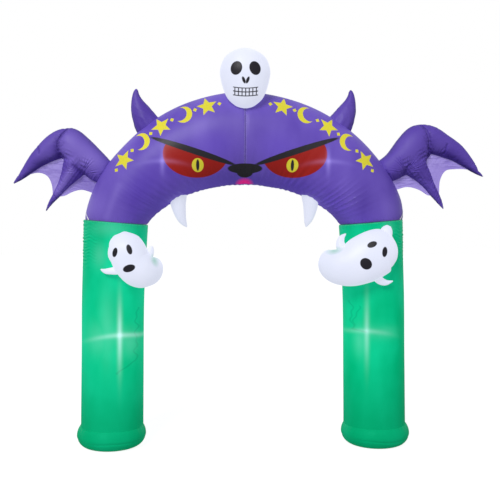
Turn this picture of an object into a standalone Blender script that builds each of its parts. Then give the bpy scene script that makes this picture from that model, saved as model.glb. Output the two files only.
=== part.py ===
"""Inflatable walk-through arch: a purple bat-winged arch on two green legs.

Every filled piece is a loft: elliptical rings along a smooth spine. A row of a
loft table is (x, z, half width, half depth) or (x, y, z, half width, half depth),
in metres, seen from the front with +X to the right and the front facing -Y.
Pieces sewn to one another keep a gap of SEAM_GAP.
"""
import math

import bmesh
import bpy
import numpy as np
from mathutils import Matrix, Vector

SEAM_GAP = 0.0003
CUT_GROW = 0.0004
WEB_CUT_GROW = 0.0007

# Arch tube, between an outer circle and an inner ellipse about one centre.
ARCH_CENTRE_Z = 1.347
ARCH_INNER_HALF_WIDTH = 0.757
ARCH_INNER_HALF_HEIGHT = 0.489
#                   degrees from the crown, outer radius left, right
ARCH_OUTER_ROWS = ((0.0, 1.147, 1.147),
                   (18.0, 1.140, 1.141),
                   (32.0, 1.138, 1.149),
                   (46.0, 1.138, 1.159),
                   (58.0, 1.149, 1.168),
                   (69.0, 1.153, 1.182),
                   (74.5, 1.150, 1.172),
                   (77.8, 1.143, 1.154))
ARCH_INNER_SPAN = math.radians(73.4)
ARCH_DEPTH_AT_LEG = 0.224
ARCH_DEPTH_AT_CROWN = 0.262
ARCH_SPANS = 40
ARCH_SIDES = 28

# Legs and feet: round, leaning a little outward to the floor.
LEG_SIDES = 28
#            z      x      radius
LEG_ROWS = ((0.145, 0.929, 0.2165),
            (0.600, 0.926, 0.2160),
            (1.020, 0.923, 0.2165),
            (1.330, 0.912, 0.2200),
            (1.560, 0.904, 0.2255),
            (1.750, 0.898, 0.2275))
FOOT_X = 0.934
#            z     radius
FOOT_ROWS = ((0.000, 0.150),
             (0.004, 0.176),
             (0.013, 0.200),
             (0.029, 0.219),
             (0.052, 0.233),
             (0.080, 0.2400),
             (0.106, 0.2365),
             (0.129, 0.2275),
             (0.145, 0.2175))

#             x      z     half width  half depth
HORN_ROWS = ((0.655, 2.226, 0.096, 0.080),
             (0.685, 2.266, 0.091, 0.078),
             (0.717, 2.325, 0.077, 0.069),
             (0.741, 2.377, 0.061, 0.056),
             (0.757, 2.425, 0.041, 0.039),
             (0.764, 2.468, 0.021, 0.021),
             (0.761, 2.509, 0.004, 0.004))

#             x left  x right  z     half width  half depth
FANG_ROWS = ((0.463, 0.463, 1.800, 0.060, 0.050),
             (0.465, 0.466, 1.750, 0.059, 0.050),
             (0.465, 0.470, 1.708, 0.055, 0.048),
             (0.456, 0.466, 1.655, 0.046, 0.041),
             (0.442, 0.457, 1.602, 0.034, 0.031),
             (0.424, 0.446, 1.566, 0.021, 0.020),
             (0.404, 0.438, 1.537, 0.004, 0.004))
FANG_Y = -0.030

#              z     half width  half depth
SKULL_ROWS = ((2.757, 0.012, 0.010),
              (2.748, 0.055, 0.042),
              (2.718, 0.112, 0.085),
              (2.675, 0.150, 0.112),
              (2.600, 0.172, 0.130),
              (2.525, 0.162, 0.126),
              (2.452, 0.139, 0.110),
              (2.403, 0.110, 0.088),
              (2.362, 0.060, 0.050),
              (2.347, 0.014, 0.012))
SKULL_Y = -0.215

# Wings: x is measured outward from the middle of the arch.
WINGS = {
    "right": {
        "arm": ((0.900, 1.872, 0.070, 0.060),
                (1.006, 1.936, 0.090, 0.078),
                (1.094, 1.990, 0.104, 0.090),
                (1.202, 2.080, 0.122, 0.098),
                (1.270, 2.150, 0.112, 0.088),
                (1.318, 2.163, 0.071, 0.058),
                (1.352, 2.158, 0.020, 0.018)),
        "finger": ((1.200, 2.152, 0.080, 0.060),
                   (1.268, 2.168, 0.104, 0.078),
                   (1.338, 2.158, 0.102, 0.080),
                   (1.414, 2.126, 0.086, 0.070),
                   (1.520, 2.070, 0.067, 0.055),
                   (1.618, 1.988, 0.041, 0.036),
                   (1.680, 1.930, 0.020, 0.018),
                   (1.718, 1.896, 0.004, 0.004)),
        "spike": ((1.185, 2.040, 0.088, 0.070),
                  (1.226, 1.972, 0.088, 0.068),
                  (1.273, 1.912, 0.062, 0.052),
                  (1.316, 1.848, 0.043, 0.038),
                  (1.356, 1.787, 0.033, 0.028),
                  (1.398, 1.722, 0.020, 0.018),
                  (1.430, 1.664, 0.004, 0.004)),
    },
    "left": {
        "arm": ((0.895, 1.866, 0.070, 0.060),
                (0.998, 1.932, 0.093, 0.078),
                (1.062, 1.984, 0.103, 0.090),
                (1.170, 2.074, 0.115, 0.094),
                (1.240, 2.130, 0.108, 0.086),
                (1.290, 2.130, 0.074, 0.060),
                (1.318, 2.120, 0.020, 0.018)),
        "finger": ((1.165, 2.128, 0.078, 0.060),
                   (1.235, 2.137, 0.098, 0.076),
                   (1.298, 2.116, 0.100, 0.078),
                   (1.360, 2.084, 0.087, 0.070),
                   (1.446, 2.020, 0.064, 0.054),
                   (1.530, 1.934, 0.037, 0.034),
                   (1.588, 1.876, 0.020, 0.018),
                   (1.620, 1.842, 0.004, 0.004)),
        "spike": ((1.160, 2.030, 0.088, 0.070),
                  (1.196, 1.958, 0.086, 0.066),
                  (1.232, 1.896, 0.060, 0.050),
                  (1.278, 1.826, 0.038, 0.034),
                  (1.320, 1.764, 0.026, 0.024),
                  (1.362, 1.706, 0.015, 0.014),
                  (1.395, 1.648, 0.004, 0.004)),
    },
}
WING_SIDES = 14

# Webs: free edge first, then the sewn edges, which run inside their neighbours.
WEB_THICKNESS = 0.0024
#          x      z    of the free edge, outer end to inner end
WEBS = {
    "right": {
        "outer": {"free": ((1.682, 1.925), (1.600, 1.948), (1.522, 1.951), (1.445, 1.938),
                           (1.405, 1.870), (1.398, 1.775), (1.396, 1.732)),
                  "sewn": ((1.352, 1.793), (1.270, 1.918), (1.225, 1.985), (1.262, 2.060),
                           (1.335, 2.120), (1.412, 2.104), (1.515, 2.056), (1.612, 1.981))},
        "inner": {"free": ((1.360, 1.768), (1.318, 1.763), (1.252, 1.802), (1.172, 1.822),
                           (1.095, 1.804), (1.020, 1.776)),
                  "sewn": ((0.980, 1.880), (1.040, 1.965), (1.130, 2.020), (1.205, 2.010),
                           (1.270, 1.918), (1.318, 1.846))},
    },
    "left": {
        "outer": {"free": ((1.590, 1.878), (1.548, 1.892), (1.452, 1.918), (1.385, 1.895),
                           (1.354, 1.835), (1.346, 1.762), (1.345, 1.735)),
                  "sewn": ((1.316, 1.770), (1.230, 1.900), (1.196, 1.970), (1.230, 2.040),
                           (1.300, 2.095), (1.365, 2.076), (1.450, 2.010), (1.528, 1.930))},
        "inner": {"free": ((1.325, 1.750), (1.266, 1.756), (1.205, 1.785), (1.142, 1.798),
                           (1.072, 1.778), (1.010, 1.752)),
                  "sewn": ((0.975, 1.870), (1.035, 1.955), (1.110, 2.005), (1.180, 1.995),
                           (1.230, 1.900), (1.278, 1.826))},
    },
}

# Ghosts: body from the head to the tail, which curls back round the leg; then arms.
#          x      y      z    half width  half depth
GHOSTS = {
    "left": {
        "body": ((-0.880, -0.265, 1.478, 0.012, 0.012),
                 (-0.869, -0.268, 1.464, 0.058, 0.046),
                 (-0.850, -0.272, 1.444, 0.090, 0.074),
                 (-0.821, -0.278, 1.408, 0.120, 0.098),
                 (-0.787, -0.282, 1.364, 0.126, 0.108),
                 (-0.757, -0.282, 1.300, 0.125, 0.108),
                 (-0.706, -0.276, 1.250, 0.121, 0.102),
                 (-0.656, -0.238, 1.240, 0.104, 0.092),
                 (-0.634, -0.160, 1.246, 0.088, 0.074),
                 (-0.636, -0.080, 1.260, 0.066, 0.052),
                 (-0.650, -0.012, 1.276, 0.034, 0.028),
                 (-0.658, 0.014, 1.282, 0.008, 0.008)),
        "arms": (((-0.820, -0.270, 1.262, 0.038, 0.034),
                  (-0.862, -0.266, 1.248, 0.029, 0.026),
                  (-0.900, -0.262, 1.243, 0.023, 0.020),
                  (-0.940, -0.258, 1.242, 0.017, 0.014),
                  (-0.972, -0.256, 1.254, 0.004, 0.004)),
                 ((-0.655, -0.262, 1.312, 0.030, 0.026),
                  (-0.630, -0.264, 1.345, 0.022, 0.019),
                  (-0.618, -0.266, 1.382, 0.017, 0.014),
                  (-0.605, -0.266, 1.408, 0.010, 0.009))),
    },
    "right": {
        "body": ((1.018, -0.262, 1.404, 0.014, 0.012),
                 (1.012, -0.264, 1.402, 0.062, 0.046),
                 (0.994, -0.268, 1.397, 0.098, 0.070),
                 (0.962, -0.276, 1.388, 0.128, 0.094),
                 (0.920, -0.284, 1.375, 0.152, 0.110),
                 (0.880, -0.288, 1.354, 0.168, 0.118),
                 (0.792, -0.290, 1.312, 0.162, 0.118),
                 (0.714, -0.286, 1.279, 0.143, 0.112),
                 (0.638, -0.258, 1.268, 0.124, 0.104),
                 (0.590, -0.186, 1.280, 0.104, 0.086),
                 (0.592, -0.106, 1.302, 0.080, 0.064),
                 (0.620, -0.034, 1.328, 0.046, 0.038),
                 (0.640, 0.000, 1.340, 0.010, 0.010)),
        "arms": (((0.925, -0.274, 1.440, 0.072, 0.058),
                  (0.950, -0.270, 1.488, 0.050, 0.040),
                  (0.966, -0.266, 1.524, 0.036, 0.030),
                  (0.976, -0.264, 1.545, 0.016, 0.014)),
                 ((0.672, -0.266, 1.350, 0.045, 0.038),
                  (0.655, -0.264, 1.392, 0.038, 0.030),
                  (0.645, -0.262, 1.432, 0.029, 0.022),
                  (0.656, -0.262, 1.467, 0.019, 0.015),
                  (0.682, -0.262, 1.492, 0.004, 0.004)),
                 ((0.855, -0.272, 1.236, 0.038, 0.034),
                  (0.884, -0.268, 1.208, 0.034, 0.028),
                  (0.917, -0.264, 1.174, 0.027, 0.022),
                  (0.957, -0.260, 1.160, 0.019, 0.015),
                  (1.004, -0.258, 1.170, 0.004, 0.004))),
    },
}

# White tape tabs sewn over the arch just above each leg seam, near the outer edge.
TAB_WIDTH = 0.0078
TAB_HEIGHT = 0.034
TAB_THICKNESS = 0.0014
TAB_TURN = math.radians(24)
TAB_GAP_TO_SEAM = 0.004

#            base colour                 roughness
MATERIALS = {
    "purple_nylon": ((0.135, 0.095, 0.440, 1.0), 0.42),
    "green_nylon": ((0.010, 0.450, 0.220, 1.0), 0.42),
    "white_nylon": ((0.820, 0.820, 0.900, 1.0), 0.45),
    "web_nylon": ((0.260, 0.190, 0.600, 1.0), 0.42),
    "white_tape": ((0.850, 0.850, 0.850, 1.0), 0.60),
}

SIDES = {"left": -1.0, "right": 1.0}
FRONT_TO_BACK = Vector((0.0, 1.0, 0.0))


def clear_scene():
    for item in list(bpy.data.objects):
        bpy.data.objects.remove(item, do_unlink=True)


def make_materials():
    for name, (colour, roughness) in MATERIALS.items():
        material = bpy.data.materials.new(name)
        material.use_nodes = True
        shader = material.node_tree.nodes["Principled BSDF"]
        shader.inputs["Base Color"].default_value = colour
        shader.inputs["Roughness"].default_value = roughness
        shader.inputs["Metallic"].default_value = 0.0


def add_object(name, bm, material):
    bmesh.ops.recalc_face_normals(bm, faces=bm.faces)
    mesh = bpy.data.meshes.new(name)
    bm.to_mesh(mesh)
    bm.free()
    item = bpy.data.objects.new(name, mesh)
    bpy.context.scene.collection.objects.link(item)
    mesh.materials.append(bpy.data.materials[material])
    return item


def smooth_rows(rows, steps):
    """Catmull-Rom curve through the rows, all columns at once."""
    padded = [rows[0]] + list(rows) + [rows[-1]]
    result = []
    for before, start, end, after in zip(padded, padded[1:], padded[2:], padded[3:]):
        for step in range(steps):
            t = step / steps
            result.append(tuple(
                0.5 * (2 * b + (c - a) * t + (2 * a - 5 * b + 4 * c - d) * t ** 2
                       + (3 * b - a - 3 * c + d) * t ** 3)
                for a, b, c, d in zip(before, start, end, after)))
    return result + [tuple(rows[-1])]


def loft_rings(bm, matrices, sides):
    """Join circle to circle with facets; a matrix places and stretches each unit circle."""
    rings = [bmesh.ops.create_circle(bm, cap_ends=False, radius=1.0, segments=sides, matrix=matrix)["verts"]
             for matrix in matrices]
    for lower, upper in zip(rings, rings[1:]):
        for here, after in zip(range(sides), [*range(1, sides), 0]):
            bm.faces.new((lower[here], lower[after], upper[after]))
            bm.faces.new((lower[here], upper[after], upper[here]))
    bm.faces.new(rings[0][::-1])
    bm.faces.new(rings[-1])


def ring_matrix(centre, across, through, half_width, half_depth):
    along = across.cross(through)
    turn = Matrix((across, through, along)).transposed().to_4x4()
    return Matrix.Translation(centre) @ turn @ Matrix.Diagonal((half_width, half_depth, 1.0, 1.0))


def loft(name, rows, material, sides=16, steps=2, grow=0.0):
    """Closed body of elliptical rings along the spine that the rows give."""
    rows = smooth_rows(rows, steps)
    centres = [Vector(row[:3]) for row in rows]
    last = len(rows) - 1
    tangents = [(centres[min(i + 1, last)] - centres[max(i - 1, 0)]).normalized() for i in range(last + 1)]
    across = tangents[0].cross(FRONT_TO_BACK).normalized()
    matrices = []
    for i, row in enumerate(rows):
        if i:
            across = tangents[i - 1].rotation_difference(tangents[i]) @ across
        across = (across - tangents[i] * across.dot(tangents[i])).normalized()
        through = tangents[i].cross(across)
        centre = centres[i] + tangents[i] * (grow * ((i == last) - (i == 0)))
        matrices.append(ring_matrix(centre, across, through, row[3] + grow, row[4] + grow))
    bm = bmesh.new()
    loft_rings(bm, matrices, sides)
    return add_object(name, bm, material)


def combine(item, tool, operation):
    """Boolean of the two bodies, kept in the first; the tool is used up."""
    modifier = item.modifiers.new(operation.lower(), "BOOLEAN")
    modifier.operation = operation
    modifier.solver = "EXACT"
    modifier.object = tool
    graph = bpy.context.evaluated_depsgraph_get()
    mesh = bpy.data.meshes.new_from_object(item.evaluated_get(graph))
    bm = bmesh.new()
    bm.from_mesh(mesh)
    bmesh.ops.triangulate(bm, faces=bm.faces)
    bm.to_mesh(mesh)
    bm.free()
    item.modifiers.clear()
    item.data = mesh
    bpy.data.objects.remove(tool, do_unlink=True)


def arch_rings(grow=0.0):
    """Ring planes fan about the walkway, from the inner ellipse to the outer curve."""
    matrices = []
    degrees, left, right = zip(*smooth_rows(ARCH_OUTER_ROWS, 4))
    outer_span = math.radians(ARCH_OUTER_ROWS[-1][0])
    for i in range(ARCH_SPANS + 1):
        turn = 2.0 * i / ARCH_SPANS - 1.0
        inner_angle, outer_angle = turn * ARCH_INNER_SPAN, turn * outer_span
        inner_radius = 1.0 / math.hypot(math.sin(inner_angle) / ARCH_INNER_HALF_WIDTH,
                                        math.cos(inner_angle) / ARCH_INNER_HALF_HEIGHT)
        outer_radius = float(np.interp(math.degrees(abs(outer_angle)), degrees, left if turn < 0 else right))
        inner = Vector((math.sin(inner_angle), 0.0, math.cos(inner_angle))) * inner_radius
        outer = Vector((math.sin(outer_angle), 0.0, math.cos(outer_angle))) * outer_radius
        centre = (inner + outer) / 2 + Vector((0.0, 0.0, ARCH_CENTRE_Z))
        fullness = math.cos(turn * math.pi / 2) ** 0.8 if abs(turn) < 1.0 else 0.0
        half_depth = ARCH_DEPTH_AT_LEG + (ARCH_DEPTH_AT_CROWN - ARCH_DEPTH_AT_LEG) * fullness
        matrices.append(ring_matrix(centre, (outer - inner).normalized(), FRONT_TO_BACK,
                                    (outer - inner).length / 2 + grow, half_depth + grow))
    return matrices


def make_arch(name, grow=0.0):
    bm = bmesh.new()
    loft_rings(bm, arch_rings(grow), ARCH_SIDES)
    return add_object(name, bm, "purple_nylon")


def leg_seam(side):
    """Point and upward normal of the slanted seam between a leg and the arch."""
    matrix = arch_rings()[0 if side < 0 else -1]
    normal = matrix.col[2].to_3d().normalized()
    return matrix.translation.copy(), normal if normal.z > 0 else -normal


def make_leg(name, side, grow=0.0):
    bm = bmesh.new()
    loft_rings(bm, [ring_matrix(Vector((side * x, 0.0, z + SEAM_GAP)), Vector((1.0, 0.0, 0.0)), FRONT_TO_BACK,
                                radius + grow, radius + grow) for z, x, radius in smooth_rows(LEG_ROWS, 2)],
               LEG_SIDES)
    point, normal = leg_seam(side)
    cut = bmesh.ops.bisect_plane(bm, geom=bm.verts[:] + bm.edges[:] + bm.faces[:], dist=1e-6,
                                 plane_co=point - normal * SEAM_GAP, plane_no=normal, clear_outer=True)
    rim = [item for item in cut["geom_cut"] if isinstance(item, bmesh.types.BMEdge)]
    bmesh.ops.contextual_create(bm, geom=rim)
    return add_object(name, bm, "green_nylon")


def make_foot(name, side):
    bm = bmesh.new()
    loft_rings(bm, [ring_matrix(Vector((side * FOOT_X, 0.0, z)), Vector((1.0, 0.0, 0.0)), FRONT_TO_BACK,
                                radius, radius) for z, radius in FOOT_ROWS], LEG_SIDES)
    return add_object(name, bm, "green_nylon")


def mirrored(rows, side, y):
    return [(side * x, y, z, width, depth) for x, z, width, depth in rows]


def wing_lobes(side_name, grow=0.0):
    """The arm, the outer finger and the middle spike are one chamber."""
    arm, finger, spike = (
        loft("wing_" + side_name, mirrored(WINGS[side_name][part], SIDES[side_name], 0.0), "purple_nylon",
             sides=WING_SIDES, grow=grow) for part in ("arm", "finger", "spike"))
    combine(arm, finger, "UNION")
    combine(arm, spike, "UNION")
    return arm


def make_wing(side_name):
    wing = wing_lobes(side_name)
    combine(wing, make_arch("arch_cut", CUT_GROW), "DIFFERENCE")
    return wing


def make_web(side_name, part):
    outline = WEBS[side_name][part]
    points = smooth_rows(outline["free"], 3) + list(outline["sewn"])
    bm = bmesh.new()
    verts = [bm.verts.new((SIDES[side_name] * x, -WEB_THICKNESS / 2, z)) for x, z in points]
    face = bm.faces.new(verts)
    grown = bmesh.ops.extrude_face_region(bm, geom=[face])
    bmesh.ops.translate(bm, vec=(0.0, WEB_THICKNESS, 0.0),
                        verts=[item for item in grown["geom"] if isinstance(item, bmesh.types.BMVert)])
    web = add_object("web_" + part + "_" + side_name, bm, "web_nylon")
    combine(web, wing_lobes(side_name, WEB_CUT_GROW), "DIFFERENCE")
    combine(web, make_arch("arch_cut", CUT_GROW), "DIFFERENCE")
    return web


def make_ghost(side_name):
    body = loft("ghost_" + side_name, GHOSTS[side_name]["body"], "white_nylon", sides=18)
    for rows in GHOSTS[side_name]["arms"]:
        combine(body, loft("arm", rows, "white_nylon", sides=10), "UNION")
    combine(body, make_leg("leg_cut", SIDES[side_name], CUT_GROW), "DIFFERENCE")
    return body


def make_tab(side_name):
    """A plate on the first facets of the arch above the seam, turned to the front."""
    rings = arch_rings()
    seam_ring, next_ring = rings[:2] if side_name == "left" else rings[:-3:-1]
    seam_point, next_point, beside = (
        ring @ Vector((math.cos(angle), -math.sin(angle), 0.0))
        for ring, angle in ((seam_ring, TAB_TURN), (next_ring, TAB_TURN), (seam_ring, TAB_TURN + 0.05)))
    upward = (next_point - seam_point).normalized()
    outward = upward.cross(beside - seam_point).normalized()
    if outward.dot(seam_point - seam_ring.translation) < 0:
        outward.negate()
    centre = seam_point + upward * (TAB_GAP_TO_SEAM + TAB_HEIGHT / 2) + outward * TAB_THICKNESS / 4
    turn = Matrix((upward.cross(outward), outward, upward)).transposed().to_4x4()
    bm = bmesh.new()
    bmesh.ops.create_cube(bm, size=1.0, matrix=Matrix.Translation(centre) @ turn
                          @ Matrix.Diagonal((TAB_WIDTH, TAB_THICKNESS * 2, TAB_HEIGHT, 1.0)))
    tab = add_object("tab_" + side_name, bm, "white_tape")
    combine(tab, make_arch("arch_cut", CUT_GROW), "DIFFERENCE")
    return tab


def trim_offcuts(bm):
    """Keep the largest body where a cut has left offcuts."""
    bodies, left = [], set(bm.faces)
    while left:
        body, edge_faces = set(), [left.pop()]
        while edge_faces:
            face = edge_faces.pop()
            body.add(face)
            near = {other for edge in face.edges for other in edge.link_faces} & left
            left -= near
            edge_faces += near
        bodies.append(body)
    bodies.sort(key=lambda body: sum(face.calc_area() for face in body))
    offcuts = [face for body in bodies[:-1] for face in body]
    bmesh.ops.delete(bm, geom=offcuts, context="FACES")
    return len(bodies) - 1


def tidy_mesh(item):
    bm = bmesh.new()
    bm.from_mesh(item.data)
    bmesh.ops.remove_doubles(bm, verts=bm.verts, dist=0.00002)
    bmesh.ops.dissolve_degenerate(bm, edges=bm.edges, dist=0.00002)
    offcuts = trim_offcuts(bm)
    bmesh.ops.recalc_face_normals(bm, faces=bm.faces)
    if bm.calc_volume(signed=True) < 0:
        bmesh.ops.reverse_faces(bm, faces=bm.faces)
    print(item.name, len(bm.faces), "faces", offcuts, "offcuts", round(bm.calc_volume(), 6), "m3")
    bm.to_mesh(item.data)
    bm.free()
    item.data.shade_smooth()
    item.data.set_sharp_from_angle(angle=math.radians(40))


def stand_on_origin(items):
    """The origin is the middle of the outline, on the floor."""
    corners = [vert.co for item in items for vert in item.data.vertices]
    middle = [(min(co[axis] for co in corners) + max(co[axis] for co in corners)) / 2 for axis in (0, 1)]
    shift = Matrix.Translation((-middle[0], -middle[1], 0.0))
    for item in items:
        item.data.transform(shift)
    print("origin moved by", [round(-value, 5) for value in middle])


def main():
    clear_scene()
    make_materials()
    items = [make_arch("arch_body"),
             loft("skull", [(0.0, SKULL_Y, z, width, depth) for z, width, depth in SKULL_ROWS],
                  "white_nylon", sides=20)]
    combine(items[-1], make_arch("arch_cut", CUT_GROW), "DIFFERENCE")
    for side_name, side in SIDES.items():
        items += [make_leg("leg_" + side_name, side), make_foot("foot_" + side_name, side),
                  make_wing(side_name), make_web(side_name, "outer"), make_web(side_name, "inner"),
                  make_ghost(side_name), make_tab(side_name)]
        horn = loft("horn_" + side_name, mirrored(HORN_ROWS, side, 0.0), "purple_nylon", sides=16)
        column = 0 if side < 0 else 1
        fang = loft("fang_" + side_name, [(side * row[column], FANG_Y) + row[2:] for row in FANG_ROWS],
                    "white_nylon", sides=14)
        for item in (horn, fang):
            combine(item, make_arch("arch_cut", CUT_GROW), "DIFFERENCE")
        items += [horn, fang]
    for item in items:
        tidy_mesh(item)
    stand_on_origin(items)


main()
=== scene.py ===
"""The looks of an inflatable walk-through arch: nylon taffeta over air, lit from inside.

Lengths are metres, but tables inside metres(...) are written in millimetres. Tables and
patterns are measured from the middle of the arch: +X to the right seen from the front,
the front facing -Y, the floor at z = 0. Every filled piece is a flat panel rolled into a
tube of elliptical rings. A row of a tube's table is (x, y, z, half width, half depth),
from one end of its spine to the other.
"""
import math
from functools import reduce

import bmesh
import bpy
import numpy as np
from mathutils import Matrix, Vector


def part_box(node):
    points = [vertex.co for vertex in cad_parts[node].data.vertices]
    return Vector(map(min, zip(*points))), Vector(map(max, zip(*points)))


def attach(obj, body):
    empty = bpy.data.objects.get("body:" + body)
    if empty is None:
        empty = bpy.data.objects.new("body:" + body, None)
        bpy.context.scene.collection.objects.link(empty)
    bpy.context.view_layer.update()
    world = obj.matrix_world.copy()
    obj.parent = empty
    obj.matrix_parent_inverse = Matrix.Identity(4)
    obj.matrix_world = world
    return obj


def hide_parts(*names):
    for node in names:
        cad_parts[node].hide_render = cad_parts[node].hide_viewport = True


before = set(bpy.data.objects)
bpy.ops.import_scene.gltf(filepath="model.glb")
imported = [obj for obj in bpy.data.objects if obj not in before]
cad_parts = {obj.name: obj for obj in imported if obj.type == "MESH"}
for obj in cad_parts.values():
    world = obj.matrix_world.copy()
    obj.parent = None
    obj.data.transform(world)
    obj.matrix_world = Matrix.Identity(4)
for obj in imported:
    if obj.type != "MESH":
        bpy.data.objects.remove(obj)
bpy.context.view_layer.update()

SIDES = {"left": -1.0, "right": 1.0}
BACKWARD = np.array((0.0, 1.0, 0.0))
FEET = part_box("foot_left")[0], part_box("foot_right")[1]
MIDDLE = np.array(((FEET[0].x + FEET[1].x) / 2, (FEET[0].y + FEET[1].y) / 2, 0.0))


def metres(table):
    """A table of millimetres as one of metres."""
    if isinstance(table, dict):
        return {name: metres(rows) for name, rows in table.items()}
    if isinstance(table, tuple):
        return tuple(metres(row) for row in table)
    return table / 1000


# Arch tube, between an outer curve and an inner ellipse about one centre.
ARCH_CENTRE_Z = 1.347
ARCH_INNER_HALF_WIDTH = 0.757
ARCH_INNER_HALF_HEIGHT = 0.489
ARCH_INNER_SPAN = math.radians(73.4)
ARCH_OUTER_SPAN = math.radians(77.8)
# Degrees from the crown, outer radius on the left, and on the right.
ARCH_OUTER_ROWS = ((0.0, 1.147, 1.147), (18.0, 1.140, 1.141), (32.0, 1.138, 1.149),
                   (46.0, 1.138, 1.159), (58.0, 1.149, 1.168), (69.0, 1.153, 1.182),
                   (74.5, 1.150, 1.172), (77.8, 1.143, 1.154))
ARCH_DEPTH_AT_LEG = 0.224
ARCH_DEPTH_AT_CROWN = 0.262
SEAM_GAP = 0.0003
FOOT_X = 0.934
FANG_Y = -0.030
SKULL_Y = -0.215
WEB_THICKNESS = 0.0024

# z, x outward, radius.
LEG_ROWS = metres(((145, 929, 216.5), (600, 926, 216), (1020, 923, 216.5), (1330, 912, 220),
    (1560, 904, 225.5), (1750, 898, 227.5)))
# z, radius.
FOOT_ROWS = metres(((0, 150), (4, 176), (13, 200), (29, 219), (52, 233), (80, 240), (106, 236.5),
    (129, 227.5), (145, 217.5)))
# x outward, z, half width, half depth.
HORN_ROWS = metres(((655, 2226, 96, 80), (685, 2266, 91, 78), (717, 2325, 77, 69),
    (741, 2377, 61, 56), (757, 2425, 41, 39), (764, 2468, 25, 24), (762, 2500, 14, 14),
    (760, 2512, 4, 4)))
# Columns as for the horns.
FANG_ROWS = metres({
    "left": ((463, 1800, 60, 50), (465, 1750, 59, 50), (465, 1708, 55, 48), (456, 1655, 46, 41),
        (442, 1602, 34, 31), (424, 1566, 21, 20), (404, 1537, 4, 4)),
    "right": ((463, 1800, 60, 50), (466, 1750, 59, 50), (470, 1708, 55, 48), (466, 1655, 46, 41),
        (457, 1602, 34, 31), (446, 1566, 21, 20), (438, 1537, 4, 4)),
})
# z, half width, half depth.
SKULL_ROWS = metres(((2757, 12, 10), (2748, 55, 42), (2718, 112, 85), (2675, 150, 112),
    (2600, 172, 130), (2525, 162, 126), (2452, 139, 110), (2403, 110, 88), (2362, 60, 50),
    (2347, 14, 12)))
# Columns as for the horns.
WINGS = metres({
    "right": {
        "arm": ((900, 1872, 70, 60), (1006, 1936, 90, 78), (1093, 1991, 106, 90),
            (1198, 2085, 128, 98), (1264, 2156, 118, 88), (1318, 2163, 71, 58),
            (1352, 2158, 20, 18)),
        "finger": ((1200, 2152, 80, 60), (1268, 2168, 104, 78), (1338, 2158, 102, 80),
            (1414, 2126, 86, 70), (1520, 2070, 67, 55), (1618, 1988, 41, 36), (1680, 1930, 20, 18),
            (1718, 1896, 4, 4)),
        "spike": ((1176, 2060, 88, 94), (1226, 1972, 88, 86), (1273, 1912, 64, 60),
            (1316, 1848, 43, 38), (1356, 1787, 33, 28), (1398, 1722, 20, 18), (1430, 1664, 4, 4)),
    },
    "left": {
        "arm": ((895, 1866, 70, 60), (998, 1932, 93, 78), (1062, 1984, 103, 90),
            (1170, 2074, 115, 94), (1240, 2130, 108, 86), (1290, 2130, 74, 60),
            (1318, 2120, 20, 18)),
        "finger": ((1165, 2128, 78, 60), (1235, 2137, 98, 76), (1298, 2116, 100, 78),
            (1360, 2084, 87, 70), (1446, 2020, 64, 54), (1530, 1934, 37, 34), (1588, 1876, 20, 18),
            (1620, 1842, 4, 4)),
        "spike": ((1152, 2050, 88, 90), (1196, 1958, 86, 82), (1232, 1896, 62, 58),
            (1278, 1826, 38, 34), (1320, 1764, 26, 24), (1362, 1706, 15, 14), (1395, 1648, 4, 4)),
    },
})
# x outward, z: the free edge and the sewn edge, both from the outer end inward.
WEBS = metres({
    "right": {
        "outer": {
            "free": ((1682, 1925), (1600, 1948), (1522, 1951), (1445, 1938), (1405, 1870),
                (1398, 1775), (1396, 1732)),
            "sewn": ((1690, 1921), (1612, 1981), (1515, 2056), (1412, 2104), (1335, 2120),
                (1262, 2060), (1225, 1985), (1270, 1918), (1352, 1793), (1390, 1736)),
        },
        "inner": {
            "free": ((1360, 1768), (1318, 1763), (1252, 1802), (1172, 1822), (1095, 1804),
                (1020, 1776)),
            "sewn": ((1352, 1792), (1318, 1846), (1270, 1918), (1205, 2010), (1130, 2020),
                (1040, 1965), (980, 1880)),
        },
    },
    "left": {
        "outer": {
            "free": ((1590, 1878), (1548, 1892), (1452, 1918), (1385, 1895), (1354, 1835),
                (1346, 1762), (1345, 1735)),
            "sewn": ((1594, 1874), (1528, 1930), (1450, 2010), (1365, 2076), (1300, 2095),
                (1230, 2040), (1196, 1970), (1230, 1900), (1316, 1770), (1340, 1737)),
        },
        "inner": {
            "free": ((1325, 1750), (1266, 1756), (1205, 1785), (1142, 1798), (1072, 1778),
                (1010, 1752)),
            "sewn": ((1320, 1764), (1278, 1826), (1230, 1900), (1180, 1995), (1110, 2005),
                (1035, 1955), (975, 1870)),
        },
    },
})
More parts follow.
